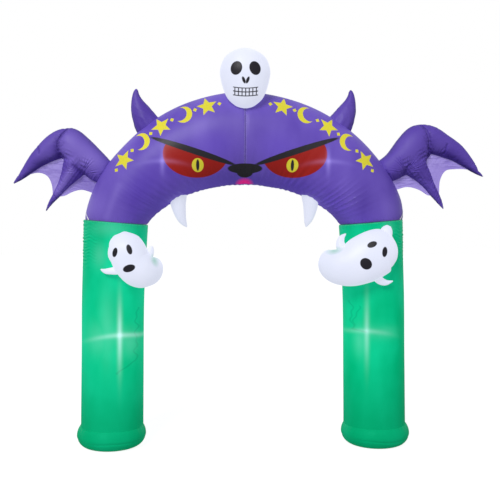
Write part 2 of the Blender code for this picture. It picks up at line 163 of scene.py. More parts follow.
# Body and arms, each a tube of its own: x, y, z, half width, half depth.
GHOSTS = metres({
    "left": {
        "body": ((-880, -265, 1478, 12, 12), (-869, -268, 1464, 58, 46), (-850, -272, 1444, 90, 74),
            (-821, -278, 1408, 120, 98), (-787, -282, 1364, 126, 108), (-757, -282, 1300, 125, 108),
            (-706, -276, 1250, 121, 102), (-656, -238, 1240, 104, 92), (-634, -160, 1246, 88, 74),
            (-636, -80, 1260, 66, 52), (-650, -12, 1276, 34, 28), (-658, 14, 1282, 8, 8)),
        "arms": (((-820, -270, 1262, 38, 34), (-862, -266, 1248, 29, 26),
             (-900, -262, 1243, 23, 20), (-940, -258, 1242, 17, 14), (-972, -256, 1254, 4, 4)),
            ((-665, -255, 1305, 40, 30), (-652, -258, 1335, 32, 24), (-643, -262, 1362, 27, 19),
             (-636, -264, 1388, 22, 15), (-630, -264, 1410, 10, 8))),
    },
    "right": {
        "body": ((1018, -262, 1404, 14, 12), (1012, -264, 1402, 62, 46), (994, -268, 1398, 98, 70),
            (962, -276, 1392, 126, 94), (920, -284, 1382, 150, 110), (880, -288, 1362, 161, 118),
            (792, -290, 1316, 162, 118), (714, -286, 1279, 143, 112), (638, -258, 1268, 124, 104),
            (590, -186, 1280, 104, 86), (592, -106, 1302, 80, 64), (620, -34, 1328, 46, 38),
            (640, 0, 1340, 10, 10)),
        "arms": (((925, -274, 1440, 72, 58), (950, -270, 1488, 50, 40), (966, -266, 1524, 36, 30),
             (976, -264, 1545, 16, 14)),
            ((672, -266, 1350, 45, 38), (655, -264, 1392, 38, 30), (645, -262, 1432, 29, 22),
             (656, -262, 1467, 19, 15), (682, -262, 1492, 4, 4)),
            ((855, -272, 1236, 38, 34), (884, -268, 1208, 34, 28), (917, -264, 1174, 27, 22),
             (957, -260, 1160, 19, 15), (1004, -258, 1170, 4, 4))),
    },
})
# Seams and folds across the front and back of the wings: x outward, z.
WING_SEAMS = metres({
    "right": {
        "elbow": ((1258, 2264), (1288, 2222), (1306, 2170), (1311, 2110), (1307, 2045)),
        "dart": ((1130, 1890), (1145, 1925), (1163, 1975)),
        "kink": ((1437, 2120), (1425, 2060)),
        "under": ((1326, 2064), (1437, 2055), (1539, 1998), (1650, 1917)),
    },
    "left": {
        "elbow": ((1230, 2240), (1281, 2167), (1296, 2135), (1296, 2090), (1288, 2050),
            (1272, 2020)),
        "dart": ((1110, 1880), (1135, 1910), (1185, 1962)),
        "kink": ((1440, 2095), (1428, 2050)),
        "under": ((1290, 2030), (1420, 1970), (1520, 1885)),
    },
})


# ---------------------------------------------------------------- cutting and sewing

SAME_PLACE = 1e-5
VALLEY_ANGLE = math.radians(20)
# How deep and how far the cloth is drawn in beside the seams of arch and legs.
SEAM_DIP = 0.003
SEAM_DIP_REACH = 0.006


def smooth_rows(rows, count):
    """Catmull-Rom curve through the rows: count + 1 samples, all columns at once."""
    rows = np.array(rows, float)
    padded = np.vstack((rows[:1], rows, rows[-1:]))
    place = np.linspace(0, len(rows) - 1, count + 1)
    start = np.minimum(place.astype(int), len(rows) - 2)
    t = (place - start)[:, None]
    a, b, c, d = (padded[start + step] for step in range(4))
    return 0.5 * (2 * b + (c - a) * t + (2 * a - 5 * b + 4 * c - d) * t ** 2
                  + (3 * b - a - 3 * c + d) * t ** 3)


def unit(vectors):
    return vectors / np.maximum(np.linalg.norm(vectors, axis=-1, keepdims=True), 1e-9)


def angles_round(around):
    return np.linspace(0.0, 2.0 * np.pi, around + 1)


def outward_rows(rows, side, y=0.0):
    return [(side * x, y, z, width, depth) for x, z, width, depth in rows]


def tube_rings(rows, along, around):
    """Elliptical rings along the spine, one row of points for each ring."""
    rows = smooth_rows(rows, along)
    spine = rows[:, :3]
    heading = unit(np.gradient(spine, axis=0))
    across = [unit(np.cross(heading[0], BACKWARD))]
    for direction in heading[1:]:
        across.append(unit(across[-1] - direction * np.dot(across[-1], direction)))
    across = np.array(across)
    through = np.cross(heading, across)
    angle = angles_round(around)[None, :, None]
    return (spine[:, None] + across[:, None] * rows[:, None, 3:4] * np.cos(angle)
            + through[:, None] * rows[:, None, 4:5] * np.sin(angle))


def outward(rings):
    """Directions out of the cloth at every point of the rings."""
    padded = np.hstack((rings[:, -2:-1], rings, rings[:, 1:2]))
    normals = unit(np.cross(padded[:, 2:] - padded[:, :-2], np.gradient(rings, axis=0)))
    middle = rings[:, :-1].mean(axis=1, keepdims=True)
    return normals * np.sign(np.sum(normals * (rings - middle)))


def raised(rings, height):
    """The rings with the cloth pushed out, or drawn in where height is negative."""
    height = height.copy()
    height[:, -1] = height[:, 0]
    return rings + outward(rings) * height[..., None]


def waves(place, length, seed, count=5):
    """Uneven waves of about that length, from -1 to 1, the same on every run."""
    draw = np.random.default_rng(seed)
    total = sum(np.sin(2 * np.pi * place / (length * draw.uniform(0.7, 1.5))
                       + draw.uniform(0, 6.28)) for _ in range(count))
    return total / math.sqrt(count) / 1.5


def hump(place, middle, reach):
    return np.exp(-((place - middle) / reach) ** 2)


def ridges(place, length, seed, width=0.30):
    """Narrow creases standing up about that far apart, from 0 to 1, uneven like waves."""
    return np.exp(-(waves(place, length * 2, seed, 3) / width) ** 2)


def gathers(place, from_seam, height, spacing, reach, seed):
    """Small pleats side by side along a seam, dying away from it."""
    return height * waves(place, spacing, seed) * np.exp(-from_seam / reach)


def billow(a, b, height, spans, seed):
    """Broad uneven swelling over the two ways of the cloth."""
    return height * waves(a, spans[0], seed) * waves(b, spans[1], seed + 1)


def fold(distance, depth, reach):
    """A groove along the line that the distance is measured from."""
    return -depth * hump(distance, 0, reach)


def beside(out, z, points):
    """Distance to a line seen from the front, how far along it, and + on its left side."""
    shape = np.broadcast(out, z).shape
    nearest, along, hand, run = np.full(shape, 9.0), np.zeros(shape), np.ones(shape), 0.0
    for start, end in zip(points[:-1], points[1:]):
        way = np.subtract(end, start)
        length = np.hypot(*way)
        a, b = out - start[0], z - start[1]
        share = np.clip((a * way[0] + b * way[1]) / length ** 2, 0, 1)
        distance = np.hypot(a - share * way[0], b - share * way[1])
        closer = distance < nearest
        nearest = np.where(closer, distance, nearest)
        along = np.where(closer, run + share * length, along)
        hand = np.where(closer, np.sign(way[0] * b - way[1] * a), hand)
        run += length
    return nearest, along, hand


def metres_along(rings):
    """Distance of each ring from the first, and round each ring, in metres."""
    along = np.linalg.norm(np.diff(rings, axis=0), axis=2).mean(axis=1)
    around = np.linalg.norm(np.diff(rings, axis=1), axis=2).max(axis=0)
    return (np.concatenate(([0.0], np.cumsum(along)))[:, None],
            np.concatenate(([0.0], np.cumsum(around)))[None, :])


def panel(rings):
    """A flat panel of cloth laid on the rings, with its flat layout as its UV."""
    bm = bmesh.new()
    bm.loops.layers.uv.new("cloth")
    bmesh.ops.create_grid(bm, x_segments=rings.shape[1] - 1, y_segments=rings.shape[0] - 1,
                          size=0.5, calc_uvs=True)
    for vert, place in zip(bm.verts, (rings + MIDDLE).reshape(-1, 3)):
        vert.co = place
    return bm


def as_object(name, bm):
    mesh = bpy.data.meshes.new(name)
    bm.to_mesh(mesh)
    bm.free()
    return in_scene(name, mesh)


def in_scene(name, data):
    item = bpy.data.objects.new(name, data)
    bpy.context.scene.collection.objects.link(item)
    return item


def smooth_shading(item, sharp=50.0):
    item.data.shade_smooth()
    item.data.set_sharp_from_angle(angle=math.radians(sharp))
    return item


def sew(name, rings):
    """Roll a flat panel into the tube of these rings, join its long edges, close its ends."""
    bm = panel(rings)
    bmesh.ops.remove_doubles(bm, verts=bm.verts, dist=SAME_PLACE)
    bmesh.ops.holes_fill(bm, edges=[edge for edge in bm.edges if edge.is_boundary], sides=0)
    bmesh.ops.recalc_face_normals(bm, faces=bm.faces)
    item = as_object(name, bm)
    corners = item.data.uv_layers["cloth"].data
    flat = np.empty(len(corners) * 2)
    corners.foreach_get("uv", flat)
    length, girth = metres_along(rings)
    corners.foreach_set("uv", (flat.reshape(-1, 2) * (girth[0, -1], length[-1, 0])).ravel())
    return smooth_shading(item)


def keep_shape(item):
    """Apply the piece's modifiers."""
    graph = bpy.context.evaluated_depsgraph_get()
    mesh = bpy.data.meshes.new_from_object(item.evaluated_get(graph))
    item.modifiers.clear()
    item.data = mesh


def combine(item, tool, operation):
    """Boolean of two bodies, kept in the first; the tool is used up."""
    cut = item.modifiers.new("cut", "BOOLEAN")
    cut.operation = operation
    cut.solver = "EXACT"
    cut.object = tool
    keep_shape(item)
    bpy.data.objects.remove(tool, do_unlink=True)
    return item


def cut_by(item, node):
    """The piece without what lies inside that CAD node."""
    bm = bmesh.new()
    bm.from_mesh(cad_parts[node].data)
    bmesh.ops.remove_doubles(bm, verts=bm.verts, dist=SAME_PLACE)
    return combine(item, as_object(node + "_cut", bm), "DIFFERENCE")


def soften_valleys(item, rounds, reach=2):
    """Round off the valleys where two lobes meet, as air does."""
    bm = bmesh.new()
    bm.from_mesh(item.data)
    valley = {vert for edge in bm.edges if len(edge.link_faces) == 2 and not edge.is_convex
              and edge.calc_face_angle() > VALLEY_ANGLE for vert in edge.verts}
    for _ in range(reach):
        valley |= {edge.other_vert(vert) for vert in valley for edge in vert.link_edges}
    near = [vert for vert in bm.verts if vert in valley]
    for _ in range(rounds):
        bmesh.ops.smooth_vert(bm, verts=near, factor=0.5,
                              use_axis_x=True, use_axis_y=True, use_axis_z=True)
    bm.to_mesh(item.data)
    bm.free()


def vertex_places(mesh, kind="co"):
    places = np.empty(len(mesh.vertices) * 3)
    mesh.vertices.foreach_get(kind, places)
    return places.reshape(-1, 3)


def press(item, height):
    """Push a finished piece's points along their normals by height(x, y, z)."""
    places = vertex_places(item.data)
    away = vertex_places(item.data, "normal") * height(*(places - MIDDLE).T)[:, None]
    item.data.vertices.foreach_set("co", (places + away).ravel())
    item.data.update()


# ------------------------------------------------------------------------- the arch

ARCH_ALONG = 460
ARCH_AROUND = 190
# How much closer the rings lie where the creases fan, and the middle and reach of that turn.
CLOSER_RINGS = 2.2
CREASED_TURN = 0.61
CREASED_REACH = 0.16
INNER_FRONT = -0.70 * np.pi
LOWER_FRONT = 1.52 * np.pi
# Side, height, spacing, seed, and the middle and reach along the arch from the crown.
ARCH_FANS = ((1.0, 0.0062, 0.031, 4, 0.93, 0.14), (-1.0, 0.0026, 0.034, 5, -0.98, 0.15))
FAN_SLANT = 0.05
FAN_WIDTH = 0.22


def arch_rings(turn, angle):
    """Rings at the turns, -1 to 1, in planes that fan about the walkway, from the outer edge."""
    inner_angle, outer_angle = turn * ARCH_INNER_SPAN, turn * ARCH_OUTER_SPAN
    inner_radius = 1.0 / np.hypot(np.sin(inner_angle) / ARCH_INNER_HALF_WIDTH,
                                  np.cos(inner_angle) / ARCH_INNER_HALF_HEIGHT)
    degrees, left, right = smooth_rows(ARCH_OUTER_ROWS, 70).T
    from_crown = np.degrees(np.abs(outer_angle))
    outer_radius = np.where(turn < 0, np.interp(from_crown, degrees, left),
                            np.interp(from_crown, degrees, right))
    inner, outer = (np.stack((np.sin(tilt) * radius, 0 * tilt, np.cos(tilt) * radius), axis=-1)
                    for tilt, radius in ((inner_angle, inner_radius),
                                         (outer_angle, outer_radius)))
    fullness = np.clip(np.cos(turn * np.pi / 2), 0, 1) ** 0.8
    depth = ARCH_DEPTH_AT_LEG + (ARCH_DEPTH_AT_CROWN - ARCH_DEPTH_AT_LEG) * fullness
    angle = angle[None, :, None]
    centre = (inner + outer) / 2 + (0.0, 0.0, ARCH_CENTRE_Z)
    return (centre[:, None] + ((outer - inner) / 2)[:, None] * np.cos(angle)
            + BACKWARD * depth[:, None, None] * np.sin(angle))


def make_arch():
    """The tube over the walkway, with more rings where the creases fan."""
    even = np.linspace(-1.0, 1.0, 2001)
    closeness = np.cumsum(1 + CLOSER_RINGS * hump(np.abs(even), CREASED_TURN, CREASED_REACH))
    turn = np.interp(np.linspace(closeness[0], closeness[-1], ARCH_ALONG + 1), closeness, even)
    rings = arch_rings(turn, angles_round(ARCH_AROUND))
    along, around = metres_along(rings)
    length = along[-1, 0]
    from_crown = along - length / 2
    from_leg = np.minimum(along, length - along)
    angle = angles_round(ARCH_AROUND)[None, :]
    inner_front = hump(np.angle(np.exp(1j * (angle - INNER_FRONT))), 0, 0.60)
    inner_edge = hump(np.cos(angle), -1.0, 0.75)
    to_right_leg = length / 2 - from_crown
    front_trough = -0.018 * hump(angle, LOWER_FRONT, 0.36) * hump(to_right_leg, 0, 0.30)
    crown_seam = fold(from_crown, depth=0.0055, reach=0.010) * (1 + 0.3 * waves(around, 0.05, 1))
    crown_gathers = gathers(around, np.abs(from_crown), height=0.0010, spacing=0.030, reach=0.035,
                            seed=2)
    leg_gathers = gathers(around, from_leg, height=0.0013, spacing=0.024, reach=0.030, seed=3)
    slant = FAN_SLANT * np.cos(angle)
    fans = sum(height * ridges(from_crown + side * slant, spacing, seed, FAN_WIDTH)
               * hump(from_crown, middle, reach)
               for side, height, spacing, seed, middle, reach in ARCH_FANS)
    inside = 0.0020 * waves(from_crown, 0.050, 6) * inner_edge
    swelling = billow(from_crown, around, height=0.0030, spans=(0.42, 0.50), seed=7)
    height = (front_trough + crown_seam + crown_gathers + leg_gathers + fans * inner_front + inside
              + swelling - SEAM_DIP * np.exp(-from_leg / SEAM_DIP_REACH))
    return sew("arch_body", raised(rings, height))


# -------------------------------------------------------------------- legs and feet

LEG_AROUND = 150
# Rings of a leg: from one share of its height to another, and how many. Closer at the top.
LEG_RINGS = ((0.0, 0.72, 90), (0.73, 1.0, 110))
LEG_PUCKERS = {"left": 0.0085, "right": 0.0055}
LEG_RADIUS = 0.22
FOOT_RADIUS = 0.23
SEAM_STEPS = 28
SEAM_ROUNDS = 8


def leg_seam(side):
    """Middle of the slanted seam between the arch and a leg, and its rise along x."""
    ends = arch_rings(np.array((-1.0, 0.0, 1.0)), angles_round(SEAM_STEPS))
    end = ends[0 if side < 0 else -1]
    rise = end[0] - end[SEAM_STEPS // 2]
    return end[:-1].mean(axis=0), rise[2] / rise[0]


def make_leg(side_name):
    """A round leg whose top is cut along the slanted seam below the arch."""
    side = SIDES[side_name]
    seam, slope = leg_seam(side)
    heights, middles, radii = smooth_rows(LEG_ROWS, 60).T
    angle = angles_round(LEG_AROUND)[None, :]
    top = np.full_like(angle, seam[2])
    for _ in range(SEAM_ROUNDS):
        radius = np.interp(top, heights, radii)
        x = side * np.interp(top, heights, middles) + radius * np.cos(angle)
        top = seam[2] + (x - seam[0]) * slope - SEAM_GAP
    share = np.concatenate([np.linspace(*run) for run in LEG_RINGS])[:, None]
    z = heights[0] + SEAM_GAP + share * (top - heights[0] - SEAM_GAP)
    radius = np.interp(z, heights, radii)
    rings = np.stack((side * np.interp(z, heights, middles) + radius * np.cos(angle),
                      radius * np.sin(angle), z), axis=-1)
    below_seam = top - z
    outer_edge = np.clip(side * np.cos(angle) - 0.42, 0, 1) / 0.58
    around = angle * LEG_RADIUS
    broken = 0.55 + 0.45 * waves(angle + 6 * z, 0.5, 13)
    level = z + 0.013 * waves(angle, 0.55, 12)
    puckers = (LEG_PUCKERS[side_name] * waves(level, 0.020, 11 + int(side)) * broken
               * np.sqrt(outer_edge) * hump(below_seam, 0.13, 0.13))
    top_gathers = gathers(around, below_seam, height=0.0011, spacing=0.022, reach=0.028, seed=14)
    foot_gathers = gathers(around, z - heights[0], height=0.0009, spacing=0.030, reach=0.03,
                           seed=15)
    swelling = billow(z, around, height=0.0022, spans=(0.55, 0.45), seed=16)
    height = (puckers + top_gathers + foot_gathers + swelling
              - SEAM_DIP * np.exp(-below_seam / SEAM_DIP_REACH))
    return sew("leg_" + side_name, raised(rings, height))


def make_foot(side_name):
    """The bulging end of a leg, with the crease that runs round it where it folds."""
    side = SIDES[side_name]
    z, radius = smooth_rows(FOOT_ROWS, 64).T[..., None]
    angle = angles_round(LEG_AROUND)[None, :]
    rings = np.stack((side * FOOT_X + radius * np.cos(angle), radius * np.sin(angle),
                      z + 0 * angle), axis=-1)
    level = 0.060 + 0.008 * waves(angle, 2.1, 21 + int(side))
    crease = fold(z - level, depth=0.0042, reach=0.006) * (0.65 + 0.35 * waves(angle, 1.6, 24))
    seam_gathers = 0.0012 * waves(angle * FOOT_RADIUS, 0.034, 26) * hump(z, 0.150, 0.040)
    rise = np.clip(z / 0.02, 0, 1)
    return sew("foot_" + side_name, raised(rings, (crease + seam_gathers) * rise))


# -------------------------------------------------------- horns, fangs, skull, ghosts

# Steps along each tube, and round it.
HORN_STEPS = 90, 72
FANG_STEPS = 80, 56
SKULL_STEPS = 110, 96
GHOST_STEPS = 120, 84
ARM_STEPS = 36, 32
HORN_RADIUS = 0.09


def root_gathers(rings, height, folds, lean, middle, reach):
    """Even pleats at the root of a horn or fang, where it is sewn on."""
    along, _ = metres_along(rings)
    angle = angles_round(rings.shape[1] - 1)[None, :]
    return height * np.cos(folds * angle + lean * np.sin(angle)) * hump(along, middle, reach)


def make_horn(side_name):
    rings = tube_rings(outward_rows(HORN_ROWS, SIDES[side_name]), *HORN_STEPS)
    pleats = root_gathers(rings, 0.0016, folds=11, lean=2, middle=0.055, reach=0.045)
    along, _ = metres_along(rings)
    around = angles_round(HORN_STEPS[1])[None, :] * HORN_RADIUS
    creases = 0.0010 * waves(around + along, 0.05, 31) * hump(along, 0.12, 0.10)
    return cut_by(sew("horn_" + side_name, raised(rings, pleats + creases)), "arch_body")


def make_fang(side_name):
    rings = tube_rings(outward_rows(FANG_ROWS[side_name], SIDES[side_name], FANG_Y), *FANG_STEPS)
    pleats = root_gathers(rings, 0.0010, folds=9, lean=1.5, middle=0.050, reach=0.050)
    return cut_by(sew("fang_" + side_name, raised(rings, pleats)), "arch_body")


def make_skull():
    rows = [(0.0, SKULL_Y, z, width, depth) for z, width, depth in SKULL_ROWS]
    rings = tube_rings(rows, *SKULL_STEPS)
    swelling = billow(*metres_along(rings), height=0.0014, spans=(0.16, 0.2), seed=41)
    return cut_by(sew("skull", raised(rings, swelling)), "arch_body")


def make_ghost(side_name):
    """Body with a tail that curls back round the leg, and small arms sewn on."""
    ghost = sew("ghost_" + side_name, tube_rings(GHOSTS[side_name]["body"], *GHOST_STEPS))
    for rows in GHOSTS[side_name]["arms"]:
        combine(ghost, sew("arm", tube_rings(rows, *ARM_STEPS)), "UNION")
    cut_by(ghost, "leg_" + side_name)
    soften_valleys(ghost, 6)
    smooth_shading(ghost)
    press(ghost, lambda x, y, z: billow(x + 0.6 * z, z - 0.5 * x, 0.0012, (0.13, 0.16), 51))
    return ghost


# -------------------------------------------------------------------- wings and webs

WING_STEPS = {"arm": 84, "finger": 96, "spike": 72}
WING_AROUND = 72
CLOTH_VOXEL = 0.0057
CLOTH_SLACK = 0.02
AIR_PRESSURE = 3.0
AIR_STEPS = 20
# The furthest that air moves the cloth, and how near its seams cloth is held.
AIR_REACH = 0.012
HELD_REACH = 0.004


def inflate(piece, held):
    """Blow the piece up as cloth cut a little too large, held where it is sewn, and keep it so."""
    even = piece.modifiers.new("even_cloth", "REMESH")
    even.mode = "VOXEL"
    even.voxel_size = CLOTH_VOXEL
    keep_shape(piece)
    start = vertex_places(piece.data)
    sewn = piece.vertex_groups.new(name="sewn")
    sewn.add(np.flatnonzero(held(*(start - MIDDLE).T)).tolist(), 1.0, "REPLACE")
    air = piece.modifiers.new("air", "CLOTH")
    air.settings.vertex_group_mass = sewn.name
    air.settings.use_pressure = True
    air.settings.uniform_pressure_force = AIR_PRESSURE
    air.settings.shrink_min = -CLOTH_SLACK
    air.settings.bending_stiffness = 0.05
    air.settings.effector_weights.gravity = 0.0
    for step in range(1, AIR_STEPS + 1):
        bpy.context.scene.frame_set(step)
    keep_shape(piece)
    bpy.context.scene.frame_set(1)
    moved = vertex_places(piece.data) - start
    length = np.linalg.norm(moved, axis=1, keepdims=True)
    moved *= np.minimum(1.0, AIR_REACH / np.maximum(length, 1e-9))
    piece.data.vertices.foreach_set("co", (start + moved).ravel())
    piece.vertex_groups.clear()
    finer = piece.modifiers.new("finer", "SUBSURF")
    finer.levels = finer.render_levels = 1
    keep_shape(piece)


def make_wing(side_name):
    """Arm, outer finger and middle spike are one chamber, drawn in along their seams."""
    side = SIDES[side_name]
    lobes = [sew("wing_" + side_name, tube_rings(outward_rows(WINGS[side_name][lobe], side),
                                                 steps, WING_AROUND))
             for lobe, steps in WING_STEPS.items()]
    wing = combine(lobes[0], lobes[1], "UNION")
    combine(wing, lobes[2], "UNION")
    cut_by(wing, "arch_body")
    soften_valleys(wing, 12, reach=4)
    seams = WING_SEAMS[side_name]
    arm, finger, spike = ([row[:2] for row in WINGS[side_name][lobe]] for lobe in WING_STEPS)
    shoulder, arm_way = np.array(arm[0]), unit(np.subtract(arm[3], arm[0]))
    spine = arm[:4] + finger[2:]
    crotch = seams["dart"][1]

    def drawn_in(x, y, z):
        elbow, _, hand = beside(side * x, z, seams["elbow"])
        dart, run, _ = beside(side * x, z, seams["dart"])
        kink, _, _ = beside(side * x, z, seams["kink"])
        off_edge = np.clip(np.abs(y) / 0.040, 0, 1)
        beyond_elbow = 0.014 * np.exp(-elbow / 0.045) * (hand > 0)
        elbow_fold = fold(elbow, depth=0.012, reach=0.010) - beyond_elbow
        dart_fold = fold(dart, depth=0.011, reach=0.014) * np.clip(1.15 - run / 0.10, 0, 1)
        return (elbow_fold + dart_fold + fold(kink, depth=0.006, reach=0.007)) * off_edge

    def held(x, y, z):
        elbow, dart = (beside(side * x, z, seams[line])[0] for line in ("elbow", "dart"))
        from_arch = (side * x - shoulder[0]) * arm_way[0] + (z - shoulder[1]) * arm_way[1]
        under = beside(side * x, z, spine)[2] < 0
        return ((np.abs(y) < HELD_REACH) & under | (elbow < HELD_REACH) | (dart < HELD_REACH)
                | (from_arch < 0.02))

    def puckers(x, y, z):
        out = side * x
        below, run, hand = beside(out, z, spine)
        from_spike, down, _ = beside(out, z, spike)
        elbow, over, _ = beside(out, z, seams["elbow"])
        kink, _, _ = beside(out, z, seams["kink"])
        dart, _, _ = beside(out, z, seams["dart"])
        spread = np.arctan2(z - crotch[1], out - crotch[0])
        from_crotch = np.hypot(out - crotch[0], z - crotch[1])
        off_edge = np.clip(np.abs(y) / 0.020, 0, 1)
        lines = (fold(elbow, depth=0.006, reach=0.006) + fold(kink, depth=0.004, reach=0.006)
                 + fold(dart, depth=0.005, reach=0.008))
        lower_edge = (0.0022 * waves(run, 0.020, 61) * np.clip((below - 0.025) / 0.045, 0, 1)
                      * (hand < 0))
        spike_edge = (0.0016 * waves(down, 0.022, 62) * np.clip((from_spike - 0.020) / 0.035, 0, 1)
                      * (from_spike < 0.09))
        fan = 0.0046 * waves(spread, 0.17, 63) * hump(from_crotch, 0.070, 0.040) * (spread > 0)
        beside_elbow = gathers(over, elbow, height=0.0018, spacing=0.018, reach=0.020, seed=64)
        return (lines + lower_edge + spike_edge + fan + beside_elbow) * off_edge

    press(wing, drawn_in)
    inflate(wing, held)
    press(wing, puckers)
    return smooth_shading(wing)


WEB_ALONG = 96
WEB_ACROSS = 54
# Where along a web the creases are strongest.
WEB_CREASES = {"outer": 0.28, "inner": 0.40}


def even_steps(points, count):
    """Points an even distance apart along a smooth curve."""
    curve = smooth_rows(points, 240)
    run = np.concatenate(([0.0], np.cumsum(np.linalg.norm(np.diff(curve, axis=0), axis=1))))
    place = np.linspace(0, run[-1], count + 1)
    return np.stack([np.interp(place, run, column) for column in curve.T], axis=-1)


def make_web(side_name, part):
    """One layer from its hemmed free edge to the seams of the wing, creased like a fan."""
    side = SIDES[side_name]
    free, sewn = (even_steps(WEBS[side_name][part][edge], WEB_ALONG) for edge in ("free", "sewn"))
    share = np.linspace(0.0, 1.0, WEB_ACROSS + 1)[None, :, None]
    flat = free[:, None] * (1 - share) + sewn[:, None] * share
    place = np.linspace(0, 1, WEB_ALONG + 1)[:, None]
    ends = np.clip(np.minimum(place, 1 - place) / 0.08, 0, 1)
    inward = share[..., 0]
    belly = (inward * (1 - inward) * 4) ** 0.6 * ends
    creases = (ridges(inward * 0.17 + 0.022 * waves(place, 0.5, 72), 0.022, 73, 0.45)
               * hump(place, WEB_CREASES[part], 0.26))
    bulge = (0.0016 * waves(place + 0.1 * inward, 0.13, 71) + 0.0035 * creases) * belly
    half = WEB_THICKNESS / 2 * (1.0 + 0.9 * (inward < 0.05) + 0 * place)
    front, back = (np.stack((side * flat[..., 0], bulge + face * half, flat[..., 1]), axis=-1)
                   for face in (-1, 1))
    rings = np.concatenate((front, back[:, ::-1], front[:, :1]), axis=1)
    return sew("web_" + part + "_" + side_name, rings), free, sewn


TAPE_WIDTH = 0.010
TAPE_THICKNESS = 0.0014
TAPE_STEPS = 12
TAPE_ORDER = Vector((0.29, 0.17, 1.0))
# Angle round the arch towards its front, and height above the seam.
TAPE_TOP = np.array((0.36, 0.050))
TAPE_FOOT = np.array((0.66, 0.003))
ARCH_HALF_LENGTH = 1.56


def make_tab(side_name):
    """A short tether tape sewn slantwise over the arch's edge, just above the leg's seam."""
    share = np.linspace(0.0, 1.0, TAPE_STEPS + 1)
    angle, height = (TAPE_TOP + (TAPE_FOOT - TAPE_TOP) * share[:, None]).T
    turn = SIDES[side_name] * (1 - height / ARCH_HALF_LENGTH)
    steps = np.arange(TAPE_STEPS + 1)
    rings = arch_rings(turn, np.concatenate((-angle, (0.0, np.pi))))
    line, middle = rings[steps, steps], rings[:, -2:].mean(axis=1)
    away = unit(line - middle)
    across = unit(np.cross(np.gradient(line, axis=0), away)) * TAPE_WIDTH / 2
    lift = 0.0012 + 0.0010 * np.sin(np.pi * share)
    line = line + away * lift[:, None]
    bm = panel(np.stack((line - across, line + across), axis=1))
    bmesh.ops.solidify(bm, geom=bm.faces[:], thickness=TAPE_THICKNESS)
    bmesh.ops.recalc_face_normals(bm, faces=bm.faces)
    # Solidify leaves the faces of the edge in another order on each run.
    bm.faces.sort(key=lambda face: face.calc_center_median().dot(TAPE_ORDER))
    return smooth_shading(as_object("tab_" + side_name + "_tape", bm), 40)


# ---------------------------------------------------------- patterns written as sums

class Field:
    """A number that varies over the cloth, held as a node's socket."""

    def __init__(self, socket):
        self.socket = socket

    def __add__(self, other):
        return reckon("ADD", self, other)

    def __sub__(self, other):
        return reckon("SUBTRACT", self, other)

    def __mul__(self, other):
        return reckon("MULTIPLY", self, other)

    def __truediv__(self, other):
        return reckon("DIVIDE", self, other)

    def __abs__(self):
        return reckon("ABSOLUTE", self)

    def __neg__(self):
        return reckon("MULTIPLY", self, -1.0)


def feed(target, value):
    """Link a field or socket to an input, or set its plain value."""
    if isinstance(value, Field):
        value = value.socket
    if isinstance(value, bpy.types.NodeSocket):
        target.id_data.links.new(value, target)
    else:
        target.default_value = value


def new_node(tree, kind, numbered=(), settings=(), **named):
    """A shader node with its settings, fed by input number or name, with _ for spaces."""
    node = tree.nodes.new("ShaderNode" + kind)
    for setting, value in dict(settings).items():
        setattr(node, setting, value)
    for number, value in dict(numbered).items():
        feed(node.inputs[number], value)
    for label, value in named.items():
        feed(node.inputs[label.replace("_", " ")], value)
    return node


def reckon(operation, *values, clamp=False):
    """One Math node on fields and plain numbers."""
    tree = next(value for value in values if isinstance(value, Field)).socket.id_data
    node = new_node(tree, "Math", enumerate(values), {"operation": operation, "use_clamp": clamp})
    return Field(node.outputs[0])


def within(*distances):
    return reduce(lambda a, b: reckon("MAXIMUM", a, b), distances)


def either(*distances):
    return reduce(lambda a, b: reckon("MINIMUM", a, b), distances)


def ink(distance, blur=0.003):
    """1 inside a printed shape, 0 outside it; distance is in metres and negative inside."""
    return reckon("SUBTRACT", 0.5, distance / blur, clamp=True)


def far(a, b):
    return reckon("SQRT", a * a + b * b)


def turned(x, z, centre, degrees):
    """The place measured from centre, on axes turned anticlockwise."""
    a, b = x - centre[0], z - centre[1]
    cosine, sine = math.cos(math.radians(degrees)), math.sin(math.radians(degrees))
    return a * cosine + b * sine, b * cosine - a * sine


def oval(x, z, centre, half_width, half_height, degrees=0.0):
    a, b = turned(x, z, centre, degrees)
    return (far(a / half_width, b / half_height) - 1.0) * min(half_width, half_height)


def oblong(x, z, half_width, half_height):
    return within(abs(x) - half_width, abs(z) - half_height)


def bell(share):
    """1 at no distance, dying away as the share of the reach passes 1."""
    return reckon("EXPONENT", -(share * share))


def clamped(field, times, plus):
    return reckon("MULTIPLY_ADD", field, times, plus, clamp=True)


def group_tree(name, inputs, outputs):
    """A shader node group with its named sockets: the tree, its inputs and its outputs."""
    tree = bpy.data.node_groups.new(name, "ShaderNodeTree")
    for way, sockets in (("INPUT", inputs), ("OUTPUT", outputs)):
        for label, kind in sockets.items():
            tree.interface.new_socket(name=label, in_out=way, socket_type="NodeSocket" + kind)
    return tree, tree.nodes.new("NodeGroupInput").outputs, tree.nodes.new("NodeGroupOutput").inputs


def place_group(tree, group, **values):
    """Put a group into a material, with its inputs fed, and give its outputs."""
    return new_node(tree, "Group", settings={"node_tree": group}, **values).outputs


def split(tree, vector):
    return [Field(output) for output in new_node(tree, "SeparateXYZ", {0: vector}).outputs]


def noise(tree, vector, scale, detail=2.0, roughness=0.5, stretch=None):
    if stretch:
        vector = new_node(tree, "Mapping", Vector=vector, Scale=stretch).outputs[0]
    return Field(new_node(tree, "TexNoise", Vector=vector, Scale=scale, Detail=detail,
                          Roughness=roughness).outputs["Fac"])


def mixed(tree, share, first, second, blend="MIX"):
    """Colour first turning to colour second as share goes from 0 to 1."""
    return new_node(tree, "Mix", {0: share, 6: first, 7: second},
                    {"data_type": "RGBA", "blend_type": blend}).outputs[2]


WEAVE_TURNS = 2600.0
STITCH_TURNS = 1250.0


